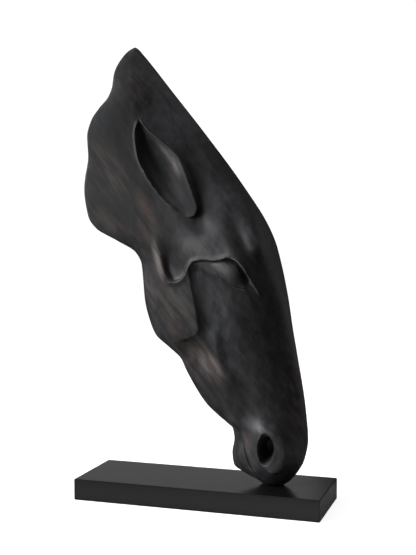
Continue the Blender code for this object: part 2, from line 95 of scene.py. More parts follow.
def smooth_through(stations: Stations, at: Array | float) -> Array:
    """Read a smooth curve without overshoot through given stations.

    Args:
        stations: pairs of place and value, in rising order of place.
        at: the places to read.

    Returns:
        The curve's value at each place, held level beyond its ends.
    """
    place, value = np.array(stations, dtype=float).T
    step = np.diff(place)
    slope = np.diff(value) / step
    tangent = np.zeros_like(value)
    tangent[0], tangent[-1] = slope[0], slope[-1]
    same_way = slope[:-1] * slope[1:] > 0
    near, far = slope[:-1][same_way], slope[1:][same_way]
    before, after = step[:-1][same_way], step[1:][same_way]
    lean = 2 * after + before, after + 2 * before
    tangent[1:-1][same_way] = sum(lean) / (lean[0] / near + lean[1] / far)
    at = np.clip(at, place[0], place[-1])
    span = np.clip(np.searchsorted(place, at, side="right") - 1, 0, len(step) - 1)
    along = (at - place[span]) / step[span]
    rise = along ** 2 * (3 - 2 * along)
    start_pull = step[span] * tangent[span] * along * (1 - along) ** 2
    end_pull = step[span] * tangent[span + 1] * along ** 2 * (1 - along)
    return value[span] * (1 - rise) + value[span + 1] * rise + start_pull - end_pull


def ramp(value: Array | float, low: Array | float, high: Array | float) -> Array:
    """Rise smoothly from 0 at low to 1 at high."""
    share = np.clip((value - low) / (high - low), 0.0, 1.0)
    return share ** 2 * (3 - 2 * share)


def bell(distance: Array, width: Array | float) -> Array:
    """Fall smoothly from 1 at no distance to almost 0 at twice the width."""
    return np.exp(-((distance / width) ** 2))


def slump(distance: Array, reach: Array | float) -> Array:
    """Step sharply off an edge at no distance and level out past the reach."""
    return 1 - np.exp(-np.maximum(distance, 0.0) / reach)


def curve_points(corners: Stations, steps: int = 8) -> Array:
    """Round a line of given corners into a smooth open curve through them.

    Args:
        corners: the corners, in order.
        steps: how many points stand for each stretch between two corners.

    Returns:
        The curve's points, one a row.
    """
    fixed = np.array(corners, dtype=float)
    reach = np.vstack([2 * fixed[0] - fixed[1], fixed, 2 * fixed[-1] - fixed[-2]])
    share = np.linspace(0.0, 1.0, steps, endpoint=False)[:, None]
    pieces = []
    for before, start, end, after in zip(reach, reach[1:], reach[2:], reach[3:]):
        pull_out, pull_in = (end - before) / 2, (after - start) / 2
        rise = share ** 2 * (3 - 2 * share)
        bend = share * (1 - share) ** 2 * pull_out - share ** 2 * (1 - share) * pull_in
        pieces.append(start * (1 - rise) + end * rise + bend)
    return np.vstack(pieces + [fixed[-1:]])


@dataclass(frozen=True)
class CarvedLine:
    """A line cut or raised on the flank, through given corners."""

    corners: Stations
    reach: float = 0.12

    def measure(self, forward: Array, up: Array) -> tuple[Array, Array]:
        """Measure points against the line.

        Args:
            forward: the points' forward shares.
            up: the points' upward shares.

        Returns:
            The signed distance, positive on the right of the line's direction, and the place
            along it from 0 to 1.  Points further off than the reach get place 0.
        """
        line = curve_points(self.corners)
        low, high = line.min(axis=0) - self.reach, line.max(axis=0) + self.reach
        near = (forward > low[0]) & (forward < high[0]) & (up > low[1]) & (up < high[1])
        near_x, near_z = forward[near], up[near]
        best = np.full(near_x.shape, self.reach)
        side = np.ones_like(best)
        place = np.zeros_like(best)
        lengths = np.hypot(*np.diff(line, axis=0).T)
        starts = np.concatenate([[0.0], np.cumsum(lengths)])
        for (from_x, from_z), (to_x, to_z), length, start in zip(
                line, line[1:], lengths, starts):
            way_x, way_z = (to_x - from_x) / length, (to_z - from_z) / length
            off_x, off_z = near_x - from_x, near_z - from_z
            run = np.clip(off_x * way_x + off_z * way_z, 0.0, length)
            gap = np.hypot(off_x - run * way_x, off_z - run * way_z)
            nearer = gap < best
            best[nearer] = gap[nearer]
            side[nearer] = np.where(off_x * way_z - off_z * way_x >= 0, 1.0, -1.0)[nearer]
            place[nearer] = ((start + run) / starts[-1])[nearer]
        signed, along = np.full(forward.shape, self.reach), np.zeros(forward.shape)
        signed[near], along[near] = side * best, place
        return signed, along


def fade_ends(place: Array, opening: float, closing: float, spare: float = 0.001) -> Array:
    """Fade a carved line in over its first share and out over its last share."""
    return ramp(place, -spare, opening) * (1 - ramp(place, 1 - closing, 1 + spare))


def between(share: Array | float, low: Array | float, high: Array | float) -> Array | float:
    """Read the value that lies some share of the way from low to high."""
    return low + share * (high - low)


@dataclass(frozen=True)
class TurnedOval:
    """An oval on the flank, its long way turned up from level by some degrees."""

    middle: Point
    half_length: float
    half_width: float
    turn: float

    def offsets(self, forward: Array, up: Array) -> tuple[Array, Array]:
        """Measure points across and along the oval, in shares of its half sizes.

        Args:
            forward: the points' forward shares.
            up: the points' upward shares.

        Returns:
            The distances across and along.
        """
        turn = math.radians(self.turn)
        off_x, off_z = forward - self.middle[0], up - self.middle[1]
        along = off_x * math.cos(turn) + off_z * math.sin(turn)
        aside = off_z * math.cos(turn) - off_x * math.sin(turn)
        return aside / self.half_width, along / self.half_length

    def reach(self, forward: Array, up: Array) -> Array:
        """Measure how far out points lie: 0 in the middle and 1 on the oval."""
        return np.hypot(*self.offsets(forward, up))


# Carving on the flanks, in shares of half the head's thickness.  A field of two values holds the
# start and the end of a change, or the values on the two sides of a line.


class Carving(Protocol):
    """Something cut into or raised on both flanks."""

    def relief(self, forward: Array, up: Array) -> Array:
        """Read the rise of the carving at points of the flank."""
        ...


EAR_FORE: Stations = (
    (-0.301, 0.829), (-0.290, 0.815), (-0.276, 0.799), (-0.259, 0.786), (-0.239, 0.770),
    (-0.220, 0.754), (-0.205, 0.739), (-0.196, 0.722), (-0.187, 0.702), (-0.177, 0.678),
    (-0.167, 0.653), (-0.160, 0.632),
)


@dataclass(frozen=True)
class Ear:
    """A leaf-shaped ear: a cliff at its rear edge, a deep floor and a rim that stands proud."""

    rear: CarvedLine = CarvedLine((
        (-0.301, 0.829), (-0.306, 0.812), (-0.308, 0.795), (-0.306, 0.774), (-0.302, 0.751),
        (-0.295, 0.729), (-0.283, 0.706), (-0.267, 0.681), (-0.247, 0.656), (-0.226, 0.635),
        (-0.211, 0.624), (-0.200, 0.615),
    ), reach=0.30)
    fore: CarvedLine = CarvedLine(EAR_FORE + ((-0.156, 0.605), (-0.156, 0.585)), reach=0.30)
    rim: CarvedLine = CarvedLine(EAR_FORE + (
        (-0.160, 0.620), (-0.165, 0.611), (-0.173, 0.607), (-0.182, 0.607), (-0.191, 0.610),
        (-0.200, 0.615),
    ), reach=0.30)
    foot: Point = (-0.177, 0.607)
    rim_rise: Stations = (
        (0.00, 0.00), (0.10, 0.04), (0.28, 0.10), (0.48, 0.13), (0.72, 0.10), (0.90, 0.07),
        (1.00, 0.05),
    )
    depth: Stations = (
        (0.00, 0.00), (0.08, 0.13), (0.25, 0.30), (0.45, 0.36), (0.62, 0.28), (0.78, 0.14),
        (0.90, 0.05), (1.00, 0.00),
    )
    ditch: Stations = (
        (0.00, 0.00), (0.34, 0.00), (0.46, 0.08), (0.62, 0.13), (0.76, 0.14), (0.86, 0.09),
        (0.92, 0.01), (1.00, 0.00),
    )
    sink: Stations = (
        (0.00, 0.30), (0.18, 0.62), (0.36, 0.94), (0.46, 1.00), (0.62, 0.82), (0.82, 0.37),
        (1.00, 0.00),
    )
    lift: Stations = (
        (0.00, 0.00), (0.35, 0.08), (0.60, 0.38), (0.80, 0.70), (1.00, 1.00))
    cliff_width: float = 0.0028
    bead: float = 0.013
    bead_width: float = 0.0035
    bead_ends: Point = (0.05, 0.06)
    wall_width: float = 0.0030
    ditch_drop: float = 0.004
    ditch_rise: Point = (0.008, 0.075)
    least_gap: float = 1e-6

    def relief(self, forward: Array, up: Array) -> Array:
        """Read the rise of the carving at points of the flank."""
        before_rear, rear_place = self.rear.measure(forward, up)
        within_rim, rim_place = self.rim.measure(forward, up)
        to_fore, _ = self.fore.measure(forward, up)
        from_rear, from_rim = -before_rear, -within_rim
        inside = (from_rear > 0) & (from_rim < 0)
        tip = np.array(self.rear.corners[0])
        axis = self.foot - tip
        way = axis / np.dot(axis, axis)
        place = np.clip((forward - tip[0]) * way[0] + (up - tip[1]) * way[1], 0.0, 1.0)
        across = np.maximum(np.abs(from_rear) + np.abs(to_fore), self.least_gap)
        share = np.abs(from_rear) / across
        rim = smooth_through(self.rim_rise, place) * smooth_through(self.lift, share)
        sunk = smooth_through(self.depth, place) * smooth_through(self.sink, share)
        scoop = rim - sunk * slump(from_rear, self.cliff_width)
        wall = 1 - ramp(from_rim, 0.0, self.wall_width)
        ditch = -smooth_through(self.ditch, rim_place) * ramp(from_rim, 0.0, self.ditch_drop)
        ditch *= 1 - ramp(from_rim, *self.ditch_rise)
        outside = np.where(from_rim > 0, rim * wall + ditch, 0.0)
        edge = self.bead * bell(from_rear, self.bead_width)
        edge *= fade_ends(rear_place, *self.bead_ends)
        return np.where(inside, scoop, outside) + np.where(from_rim < 0, edge, 0.0)


@dataclass(frozen=True)
class Brow:
    """The crisp ridge over the eye, with the socket under it, running on towards the nose."""

    line: CarvedLine = CarvedLine((
        (-0.185, 0.479), (-0.178, 0.494), (-0.169, 0.506), (-0.156, 0.511), (-0.134, 0.512),
        (-0.114, 0.511), (-0.097, 0.515), (-0.083, 0.518), (-0.070, 0.514), (-0.059, 0.506),
        (-0.048, 0.492), (-0.037, 0.472), (-0.026, 0.451), (-0.017, 0.435), (-0.004, 0.416),
    ))
    ends: Point = (0.14, 0.40)
    eye_start: Point = (-0.110, -0.050)
    bead: float = 0.022
    bead_widths: Point = (0.0022, 0.0060)
    bone: Point = (0.0405, 0.090)
    bone_reach: float = 0.050
    ledge: float = 0.0045
    depth: Point = (0.006, 0.084)
    socket_drop: float = 0.005
    socket_floor: float = 0.007
    socket_reach: Point = (0.060, 0.024)
    socket_start: Point = (-0.192, -0.165)

    def relief(self, forward: Array, up: Array) -> Array:
        """Read the rise of the carving at points of the flank."""
        below, place = self.line.measure(forward, up)
        at_eye = ramp(forward, *self.eye_start)
        bone = between(at_eye, *self.bone) * bell(np.maximum(-below, 0.0), self.bone_reach)
        bone *= 1 - ramp(below, 0.0, self.ledge)
        under, over = self.bead_widths
        bead = self.bead * bell(below, np.where(below > 0, under, over))
        socket = -between(at_eye, *self.depth) * ramp(below, 0.0, self.socket_drop)
        socket *= 1 - ramp(below, self.socket_floor, between(at_eye, *self.socket_reach))
        socket *= ramp(forward, *self.socket_start)
        return fade_ends(place, *self.ends) * (bead + bone + socket)


@dataclass(frozen=True)
class ClosedEye:
    """The swelling of the lid between its crease and the lash line."""

    lid: TurnedOval = TurnedOval((-0.083, 0.482), 0.046, 0.024, -38)
    crease: CarvedLine = CarvedLine((
        (-0.128, 0.503), (-0.108, 0.507), (-0.090, 0.509), (-0.074, 0.506), (-0.061, 0.496),
        (-0.048, 0.476), (-0.036, 0.454),
    ))
    lashes: CarvedLine = CarvedLine((
        (-0.112, 0.484), (-0.098, 0.469), (-0.081, 0.457), (-0.062, 0.451), (-0.036, 0.449),
    ))
    swelling: float = 0.074
    swelling_edge: Point = (0.10, 1.20)
    wedge_start: Point = (0.52, 0.86)
    crease_depth: Point = (0.030, 0.070)
    crease_width: Point = (0.0022, 0.0050)
    crease_ends: Point = (0.25, 0.15)
    lash_depth: float = 0.026
    lash_width: float = 0.0018
    lash_ends: Point = (0.30, 0.10)

    def relief(self, forward: Array, up: Array) -> Array:
        """Read the rise of the carving at points of the flank."""
        lid = self.lid.reach(forward, up)
        swelling = self.swelling * (1 - ramp(lid, *self.swelling_edge))
        from_crease, place = self.crease.measure(forward, up)
        wedge = ramp(place, *self.wedge_start)
        crease = between(wedge, *self.crease_depth) * fade_ends(place, *self.crease_ends)
        crease *= bell(from_crease, between(wedge, *self.crease_width))
        from_lashes, place = self.lashes.measure(forward, up)
        lashes = self.lash_depth * bell(from_lashes, self.lash_width)
        return swelling - crease - lashes * fade_ends(place, *self.lash_ends)


@dataclass(frozen=True)
class Temple:
    """The hollow of the temple, sharp along its rear and lower edges and open forwards."""

    rear: CarvedLine = CarvedLine((
        (-0.254, 0.592), (-0.253, 0.563), (-0.252, 0.537), (-0.248, 0.512), (-0.241, 0.488),
        (-0.230, 0.466), (-0.218, 0.450),
    ))
    shelf: CarvedLine = CarvedLine((
        (-0.240, 0.470), (-0.227, 0.461), (-0.211, 0.460), (-0.197, 0.466), (-0.187, 0.477),
        (-0.178, 0.494), (-0.166, 0.507),
    ))
    hollow: TurnedOval = TurnedOval((-0.228, 0.484), 0.050, 0.036, -66)
    depth: float = 0.080
    soft_above: Point = (0.480, 0.560)
    rear_drop: Point = (0.014, 0.040)
    rear_start: float = 0.001
    shelf_drop: Point = (-0.001, 0.010)
    rear_rise: float = 0.054
    rear_width: Point = (0.008, 0.018)
    rear_outer_width: float = 0.014
    rear_ends: Point = (0.60, 0.20)
    shelf_rise: float = 0.022
    shelf_widths: Point = (0.0025, 0.0080)
    shelf_ends: Point = (0.25, 0.20)

    def relief(self, forward: Array, up: Array) -> Array:
        """Read the rise of the carving at points of the flank."""
        outside, rear_place = self.rear.measure(forward, up)
        below, shelf_place = self.shelf.measure(forward, up)
        softness = ramp(up, *self.soft_above)
        floor = ramp(-outside, self.rear_start, between(softness, *self.rear_drop))
        floor *= ramp(-below, *self.shelf_drop)
        sunk = self.depth * floor * bell(self.hollow.reach(forward, up), 1.0)
        inner_width = between(softness, *self.rear_width)
        rear_width = np.where(outside < 0, inner_width, self.rear_outer_width)
        rear_rim = self.rear_rise * bell(outside, rear_width)
        shelf_width = np.where(below < 0, *self.shelf_widths)
        shelf_rim = self.shelf_rise * bell(below, shelf_width)
        return (rear_rim * fade_ends(rear_place, *self.rear_ends)
                + shelf_rim * fade_ends(shelf_place, *self.shelf_ends) - sunk)


@dataclass(frozen=True)
class JawPlate:
    """The flat plate of the jaw: a groove runs down before it and turns back under its foot."""

    edge: CarvedLine = CarvedLine((
        (-0.180, 0.500), (-0.176, 0.475), (-0.170, 0.443), (-0.165, 0.416), (-0.161, 0.394),
        (-0.158, 0.372), (-0.157, 0.354), (-0.163, 0.344), (-0.176, 0.337), (-0.192, 0.331),
        (-0.208, 0.325), (-0.228, 0.318),
    ), reach=0.20)
    depth: float = 0.125
    ends: Point = (0.08, 0.22)
    foot_start: Point = (0.60, 0.86)
    opening: Point = (0.02, 0.42)
    edge_spare: float = 0.001
    fall_reach: Point = (0.0075, 0.0140)
    floor: Point = (0.010, 0.020)
    recovery: Point = (0.036, 0.060)
    beside_recovery: float = 0.100

    def relief(self, forward: Array, up: Array) -> Array:
        """Read the rise of the carving at points of the flank."""
        inside, place = self.edge.measure(forward, up)
        beside = 1 - ramp(place, *self.foot_start)
        opened = ramp(place, *self.opening)
        recovery = between(opened, *self.recovery) + self.beside_recovery * beside * opened
        fall = slump(self.edge_spare - inside, between(beside, *self.fall_reach))
        rise = 1 - ramp(-inside, between(beside * opened, *self.floor), recovery)
        return -self.depth * fade_ends(place, *self.ends) * fall * rise


@dataclass(frozen=True)
class Ridge:
    """A ridge with a gentle rise behind it and a quick fall before it."""

    line: CarvedLine
    rise: float
    rear_width: float
    fore_width: float
    fall: float
    ends: Point
    fall_start: Point = (0.20, 0.50)
    fall_drop: Point = (0.004, 0.024)
    fall_rise: Point = (0.026, 0.085)

    def relief(self, forward: Array, up: Array) -> Array:
        """Read the rise of the carving at points of the flank."""
        behind, place = self.line.measure(forward, up)
        width = np.where(behind > 0, self.rear_width, self.fore_width)
        fall = ramp(-behind, *self.fall_drop) * (1 - ramp(-behind, *self.fall_rise))
        fall *= self.fall * ramp(place, *self.fall_start)
        return fade_ends(place, *self.ends) * (self.rise * bell(behind, width) - fall)


CHEEK_RIDGE = Ridge(CarvedLine((
    (-0.130, 0.375), (-0.125, 0.358), (-0.122, 0.344), (-0.120, 0.322), (-0.116, 0.294),
    (-0.106, 0.268), (-0.093, 0.246), (-0.074, 0.208), (-0.056, 0.168),
)), rise=0.080, rear_width=0.036, fore_width=0.016, fall=0.024, ends=(0.26, 0.60))
FOREHEAD_RIDGE = Ridge(CarvedLine((
    (-0.087, 0.682), (-0.066, 0.643), (-0.050, 0.616), (-0.033, 0.585), (-0.020, 0.554),
    (-0.012, 0.528), (-0.007, 0.503),
)), rise=0.130, rear_width=0.027, fore_width=0.012, fall=0.010, ends=(0.60, 0.22))


@dataclass(frozen=True)
class Nostril:
    """An open nostril with a rolled wing on its front side."""

    opening: TurnedOval = TurnedOval((-0.005, 0.092), 0.035, 0.0185, 86)
    wing: TurnedOval = TurnedOval((0.007, 0.087), 0.048, 0.0275, 99)
    depth: float = 0.50
    rim: Point = (0.40, 1.15)
    wing_rise: float = 0.110
    wing_widths: Point = (0.42, 0.09)
    wing_droop: float = 0.6
    wing_start: Point = (-0.60, 0.70)

    def relief(self, forward: Array, up: Array) -> Array:
        """Read the rise of the carving at points of the flank."""
        hole = self.depth * (1 - ramp(self.opening.reach(forward, up), *self.rim))
        aside, along = self.wing.offsets(forward, up)
        beyond = np.hypot(aside, along) - 1
        before = ramp(-aside - self.wing_droop * along, *self.wing_start)
        crest = bell(beyond, np.where(beyond < 0, *self.wing_widths))
        return self.wing_rise * before * crest - hole


@dataclass(frozen=True)
class Mouth:
    """The fine line of the mouth."""

    line: CarvedLine = CarvedLine(
        ((-0.067, 0.120), (-0.059, 0.093), (-0.050, 0.065), (-0.039, 0.042), (-0.024, 0.016)))
    depth: float = 0.036
    width: float = 0.0022
    ends: Point = (0.40, 0.0)

    def relief(self, forward: Array, up: Array) -> Array:
        """Read the rise of the carving at points of the flank."""
        behind, place = self.line.measure(forward, up)
        return -self.depth * bell(behind, self.width) * fade_ends(place, *self.ends)


@dataclass(frozen=True)
class SoftForm:
    """One broad soft swelling or hollow of the flank."""

    spread: TurnedOval
    rise: float

    def relief(self, forward: Array, up: Array) -> Array:
        """Read the rise of the carving at points of the flank."""
        return self.rise * bell(self.spread.reach(forward, up), 1.0)


SOFT_FORMS = tuple(SoftForm(TurnedOval(*spread), rise) for *spread, rise in (
    ((-0.056, 0.550), 0.062, 0.017, -62, -0.100),
    ((-0.130, 0.560), 0.050, 0.030, -20, 0.030),
    ((-0.152, 0.592), 0.032, 0.020, -35, -0.045),
    ((-0.162, 0.290), 0.044, 0.020, -55, -0.105),
    ((-0.186, 0.262), 0.060, 0.010, -58, 0.030),
    ((-0.078, 0.390), 0.080, 0.030, -80, 0.030),
    ((-0.008, 0.127), 0.034, 0.027, -20, 0.135),
    ((-0.050, 0.155), 0.050, 0.022, -60, -0.040),
    ((-0.080, 0.075), 0.030, 0.016, -80, 0.050),
    ((-0.330, 0.700), 0.110, 0.030, -60, 0.020),
    ((-0.366, 0.585), 0.070, 0.034, -35, -0.035),
    ((-0.385, 0.805), 0.070, 0.050, -70, 0.030),
))


# The head and the base


@dataclass(frozen=True)
class HeadSections:
    """The level cross-sections of the half head, from the seat up to the peak of the neck.

    The lines are forward shares by height, the widths are shares of half the thickness, the
    roundings are shares of a section's length, and a higher squareness is a tighter corner.
    """

    back_line: Stations = (
        (0.000, -0.028), (0.010, -0.042), (0.022, -0.068), (0.040, -0.095), (0.068, -0.099),
        (0.100, -0.094), (0.124, -0.098), (0.137, -0.113), (0.153, -0.136), (0.178, -0.166),
        (0.204, -0.185), (0.257, -0.212), (0.283, -0.222), (0.309, -0.250), (0.336, -0.280),
        (0.363, -0.291), (0.417, -0.302), (0.499, -0.306), (0.526, -0.318), (0.553, -0.362),
        (0.580, -0.409), (0.608, -0.428), (0.670, -0.437), (0.700, -0.434), (0.722, -0.429),
        (0.745, -0.426), (0.790, -0.428), (0.828, -0.417), (0.854, -0.399), (0.881, -0.377),
        (0.907, -0.370), (0.934, -0.371), (0.960, -0.366), (0.980, -0.357), (0.992, -0.347),
        (0.998, -0.340), (1.000, -0.336),
    )
    front_line: Stations = (
        (0.000, 0.022), (0.010, 0.036), (0.030, 0.053), (0.060, 0.069), (0.105, 0.077),
        (0.180, 0.071), (0.300, 0.051), (0.360, 0.040), (0.420, 0.030), (0.520, 0.006),
        (0.560, -0.007), (0.600, -0.026), (0.680, -0.077), (0.800, -0.168), (0.900, -0.249),
        (0.970, -0.306), (0.988, -0.322), (0.997, -0.330), (1.000, -0.335),
    )
    back_width: Stations = (
        (0.00, 0.10), (0.01, 0.22), (0.03, 0.33), (0.06, 0.41), (0.11, 0.46), (0.20, 0.46),
        (0.30, 0.56), (0.40, 0.70), (0.50, 0.78), (0.60, 0.96), (0.80, 0.94), (0.90, 0.80),
        (0.96, 0.52), (0.99, 0.28), (1.00, 0.06),
    )
    middle_width: Stations = (
        (0.00, 0.14), (0.01, 0.36), (0.03, 0.53), (0.06, 0.65), (0.10, 0.70), (0.16, 0.66),
        (0.25, 0.74), (0.35, 0.88), (0.48, 0.97), (0.60, 0.94), (0.75, 0.87), (0.90, 0.72),
        (0.96, 0.48), (0.99, 0.28), (1.00, 0.06),
    )
    front_width: Stations = (
        (0.00, 0.10), (0.01, 0.27), (0.03, 0.41), (0.06, 0.51), (0.11, 0.58), (0.20, 0.56),
        (0.30, 0.66), (0.40, 0.84), (0.50, 1.00), (0.58, 0.86), (0.70, 0.62), (0.85, 0.48),
        (0.96, 0.36), (0.99, 0.24), (1.00, 0.06),
    )
    back_round: Stations = (
        (0.00, 0.50), (0.10, 0.42), (0.20, 0.24), (0.35, 0.12), (0.50, 0.08), (0.60, 0.03),
        (0.86, 0.04), (0.95, 0.12), (1.00, 0.50),
    )
    back_squareness: Stations = (
        (0.00, 2.0), (0.14, 2.0), (0.30, 2.6), (0.55, 3.2), (0.90, 3.2), (1.00, 2.0))
    front_round: Stations = (
        (0.00, 0.50), (0.10, 0.46), (0.20, 0.46), (0.30, 0.46), (0.38, 0.40), (0.46, 0.33),
        (0.52, 0.28), (0.60, 0.24), (0.68, 0.34), (0.78, 0.50), (0.90, 0.56), (1.00, 0.50),
    )
    front_squareness: Stations = (
        (0.00, 2.0), (0.12, 2.1), (0.25, 2.0), (0.40, 2.1), (0.52, 2.2), (0.60, 2.3),
        (0.70, 1.9), (0.85, 1.7), (1.00, 2.0),
    )
    back_hollow: Stations = (
        (0.00, 0.000), (0.13, 0.000), (0.18, 0.012), (0.30, 0.034), (0.44, 0.044),
        (0.54, 0.030), (0.62, 0.014), (0.86, 0.014), (0.95, 0.004), (1.00, 0.000),
    )
    hollow_spread: float = 0.86
    hollow_fade: float = 0.2
    steps: int = 120

    def section(self, up: float, columns: int, slimness: float) -> tuple[Array, Array]:
        """Draw one section from its back to its front.

        Args:
            up: the section's height, as a share of the head's.
            columns: how many points it gets, spaced evenly along it.
            slimness: half the head's thickness as a share of its height.

        Returns:
            The forward places and the half widths of the points.
        """
        back, front = smooth_through(self.back_line, up), smooth_through(self.front_line, up)
        length = front - back
        back_round = smooth_through(self.back_round, up)
        front_round = smooth_through(self.front_round, up)
        back_power = 2 / smooth_through(self.back_squareness, up)
        front_power = 2 / smooth_through(self.front_squareness, up)
        turn = np.linspace(0.0, math.pi / 2, self.steps)
        flank = np.linspace(back_round, 1 - front_round, self.steps)[1:-1]
        share = np.concatenate([
            back_round * (1 - np.cos(turn) ** back_power),
            flank,
            1 - front_round + front_round * np.sin(turn) ** front_power,
        ])
        rounding = np.concatenate([
            np.sin(turn) ** back_power, np.ones_like(flank), np.cos(turn) ** front_power])
        rounding[-1] = 0.0
        behind, middle, before = (
            smooth_through(table, up)
            for table in (self.back_width, self.middle_width, self.front_width))
        half_width = rounding * (behind * 2 * (share - 0.5) * (share - 1)
                                 + middle * 4 * share * (1 - share)
                                 + before * 2 * share * (share - 0.5))
        depth = smooth_through(self.back_hollow, up)
        spread = np.clip(1 - (half_width / (behind * self.hollow_spread)) ** 2, 0.0, 1.0) ** 2
        sunk = depth * spread * (1 - ramp(share, back_round, back_round + self.hollow_fade))
        forward = back + length * share + sunk
        steps = np.hypot(np.diff(forward), np.diff(half_width) * slimness)
        run = np.concatenate([[0.0], np.cumsum(steps)])
        even = np.linspace(0.0, run[-1], columns)
        return np.interp(even, run, forward), np.interp(even, run, half_width)


CARVINGS: tuple[Carving, ...] = (
    Ear(), Brow(), ClosedEye(), Temple(), JawPlate(), CHEEK_RIDGE, FOREHEAD_RIDGE, Nostril(),
    Mouth(), *SOFT_FORMS)


@dataclass
class HorseHead:
    """The head, rebuilt more finely in the place of the solid that it stands for."""

    seat: Point
    height: float
    thickness: float
    fineness: Fineness
    sections: HeadSections = HeadSections()
    carvings: tuple[Carving, ...] = CARVINGS
    name: str = "carved_head"
    node: str = "horse_head"
    crowding: float = 0.25
    carving_start: Point = (0.05, 0.45)
    seam_reach: float = 0.00002

    def points(self) -> Array:
        """Work out the half head at positive Y as an array of rows, columns and 3.

        The rows are crowded a little towards both ends, and the carving fades out where the
        side turns in to the back and front lines.
        """
        rows, columns, _ = self.fineness.value
        crowded = 0.5 - 0.5 * np.cos(np.linspace(0.0, math.pi, rows))
        levels = between(self.crowding, np.linspace(0.0, 1.0, rows), crowded)
        slimness = self.thickness / 2 / self.height
        drawn = [self.sections.section(up, columns, slimness) for up in levels]
        forward, half_width = np.array(drawn).transpose(1, 0, 2)
        up = np.repeat(levels[:, None], columns, axis=1)
        relief = sum(carving.relief(forward, up) for carving in self.carvings)
        carved = half_width + relief * ramp(half_width, *self.carving_start)
        carved[:, [0, -1]] = 0.0
        return np.stack([
            self.seat[0] + forward * self.height,
            carved * self.thickness / 2,
            self.seat[1] + up * self.height,
        ], axis=2)

    def half_mesh(self) -> bpy.types.Mesh:
        """Turn the points into the mesh of one side, with its two ends closed."""
        points = self.points()
        rows, columns = points.shape[:2]
        number = np.arange(rows * columns).reshape(rows, columns)
        quads = np.stack(
            (number[:-1, :-1], number[1:, :-1], number[1:, 1:], number[:-1, 1:]), axis=2)
        corners = np.concatenate([quads.ravel(), number[0], number[-1, ::-1]])
        count = quads.size // 4
        starts = np.concatenate([np.arange(count) * 4, [count * 4, count * 4 + columns]])
        mesh = bpy.data.meshes.new(self.name)
        mesh.vertices.add(rows * columns)
        mesh.vertices.foreach_set("co", points.astype(np.float32).ravel())
        mesh.loops.add(len(corners))
        mesh.loops.foreach_set("vertex_index", corners.astype(np.int32))
        mesh.polygons.add(count + 2)
        mesh.polygons.foreach_set("loop_start", starts.astype(np.int32))
        mesh.update(calc_edges=True)
        mesh.validate()
        return mesh

    def thin_out(self, piece: bpy.types.Object) -> None:
        """Spend the triangles where the carving is: merge faces where the side is flat."""
        _, _, most = self.fineness.value
        thin = piece.modifiers.new("fewer flat faces", "DECIMATE")
        thin.ratio = most / triangles(piece.data)
        bake_modifiers(piece)
        places = read_rows(piece.data.vertices, "co", 3)
        places[open_edge_vertices(piece.data), 1] = 0.0
        piece.data.vertices.foreach_set("co", places.ravel())

    def build(self, finish: bpy.types.Material) -> bpy.types.Object:
        """Make the whole head, mark its crests for the pale crest lines, partly wear and partly
        painted edge highlight, dress it and put it in the frame.

        Args:
            finish: the material of the cast.

        Returns:
            The finished piece.
        """
        piece = put_in_scene(self.name, self.half_mesh())
        self.thin_out(piece)
        mirror = piece.modifiers.new("other side", "MIRROR")
        mirror.use_axis = (False, True, False)
        mirror.merge_threshold = self.seam_reach
        bake_modifiers(piece)
        piece.data.shade_smooth()
        mark_crests(piece.data)
        piece.data.materials.append(finish)
        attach(piece, Body.ROOT.value)
        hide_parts(self.node)
        return piece


def put_in_scene(name: str, data: bpy.types.ID, place: Triple = (0.0, 0.0, 0.0),
                 aim: Triple | None = None) -> bpy.types.Object:
    """Put an object into the scene.

    Args:
        name: the object's name.
        data: its mesh, lamp or camera.
        place: where it stands.
        aim: what it faces, if it has to face anything.

    Returns:
        The object.
    """
    thing = bpy.data.objects.new(name, data)
    thing.location = place
    if aim is not None:
        way = Vector(aim) - Vector(place)
        thing.rotation_euler = way.to_track_quat("-Z", "Y").to_euler()
    bpy.context.scene.collection.objects.link(thing)
    return thing


def bake_modifiers(piece: bpy.types.Object) -> None:
    """Replace a piece's mesh by what its modifiers make of it."""
    shaped = piece.evaluated_get(bpy.context.evaluated_depsgraph_get())
    mesh = bpy.data.meshes.new_from_object(shaped)
    piece.modifiers.clear()
    old, piece.data = piece.data, mesh
    bpy.data.meshes.remove(old)


def triangles(mesh: bpy.types.Mesh) -> int:
    """Count the triangles that a mesh's faces come to."""
    return sum(len(face.vertices) - 2 for face in mesh.polygons)


def read_rows(parts: bpy.types.bpy_prop_collection, name: str, width: int,
              kind: type = np.float32) -> Array:
    """Read one property of a mesh's parts.

    Args:
        parts: the mesh's vertices, edges or corners.
        name: the property.
        width: how many numbers it has.
        kind: the kind of its numbers.

    Returns:
        The numbers, with a row for each part.
    """
    numbers = np.empty(len(parts) * width, dtype=kind)
    parts.foreach_get(name, numbers)
    return numbers.reshape(-1, width)


def open_edge_vertices(mesh: bpy.types.Mesh) -> Array:
    """Find the vertices on the open edges of a mesh."""
    of_corner = read_rows(mesh.loops, "edge_index", 1, np.int32).ravel()
    uses = np.bincount(of_corner, minlength=len(mesh.edges))
    return np.unique(read_rows(mesh.edges, "vertices", 2, np.int32)[uses == 1])


def spread_out(values: Array, ends: Array, rounds: int) -> Array:
    """Even out values on a mesh's vertices with their neighbours, some rounds over."""
    neighbours = np.maximum(np.bincount(ends.ravel(), minlength=len(values)), 1)
    for _ in range(rounds):
        total = np.bincount(ends[:, 0], values[ends[:, 1]], len(values))
        total += np.bincount(ends[:, 1], values[ends[:, 0]], len(values))
        values = 0.5 * values + 0.5 * total / neighbours
    return values


CREST = "crest"
SHARPEST_BEND = 900.0
CREST_SCALE = 0.0030
CREST_ROUNDS = 2
LEAST_SQUARE = 1e-12


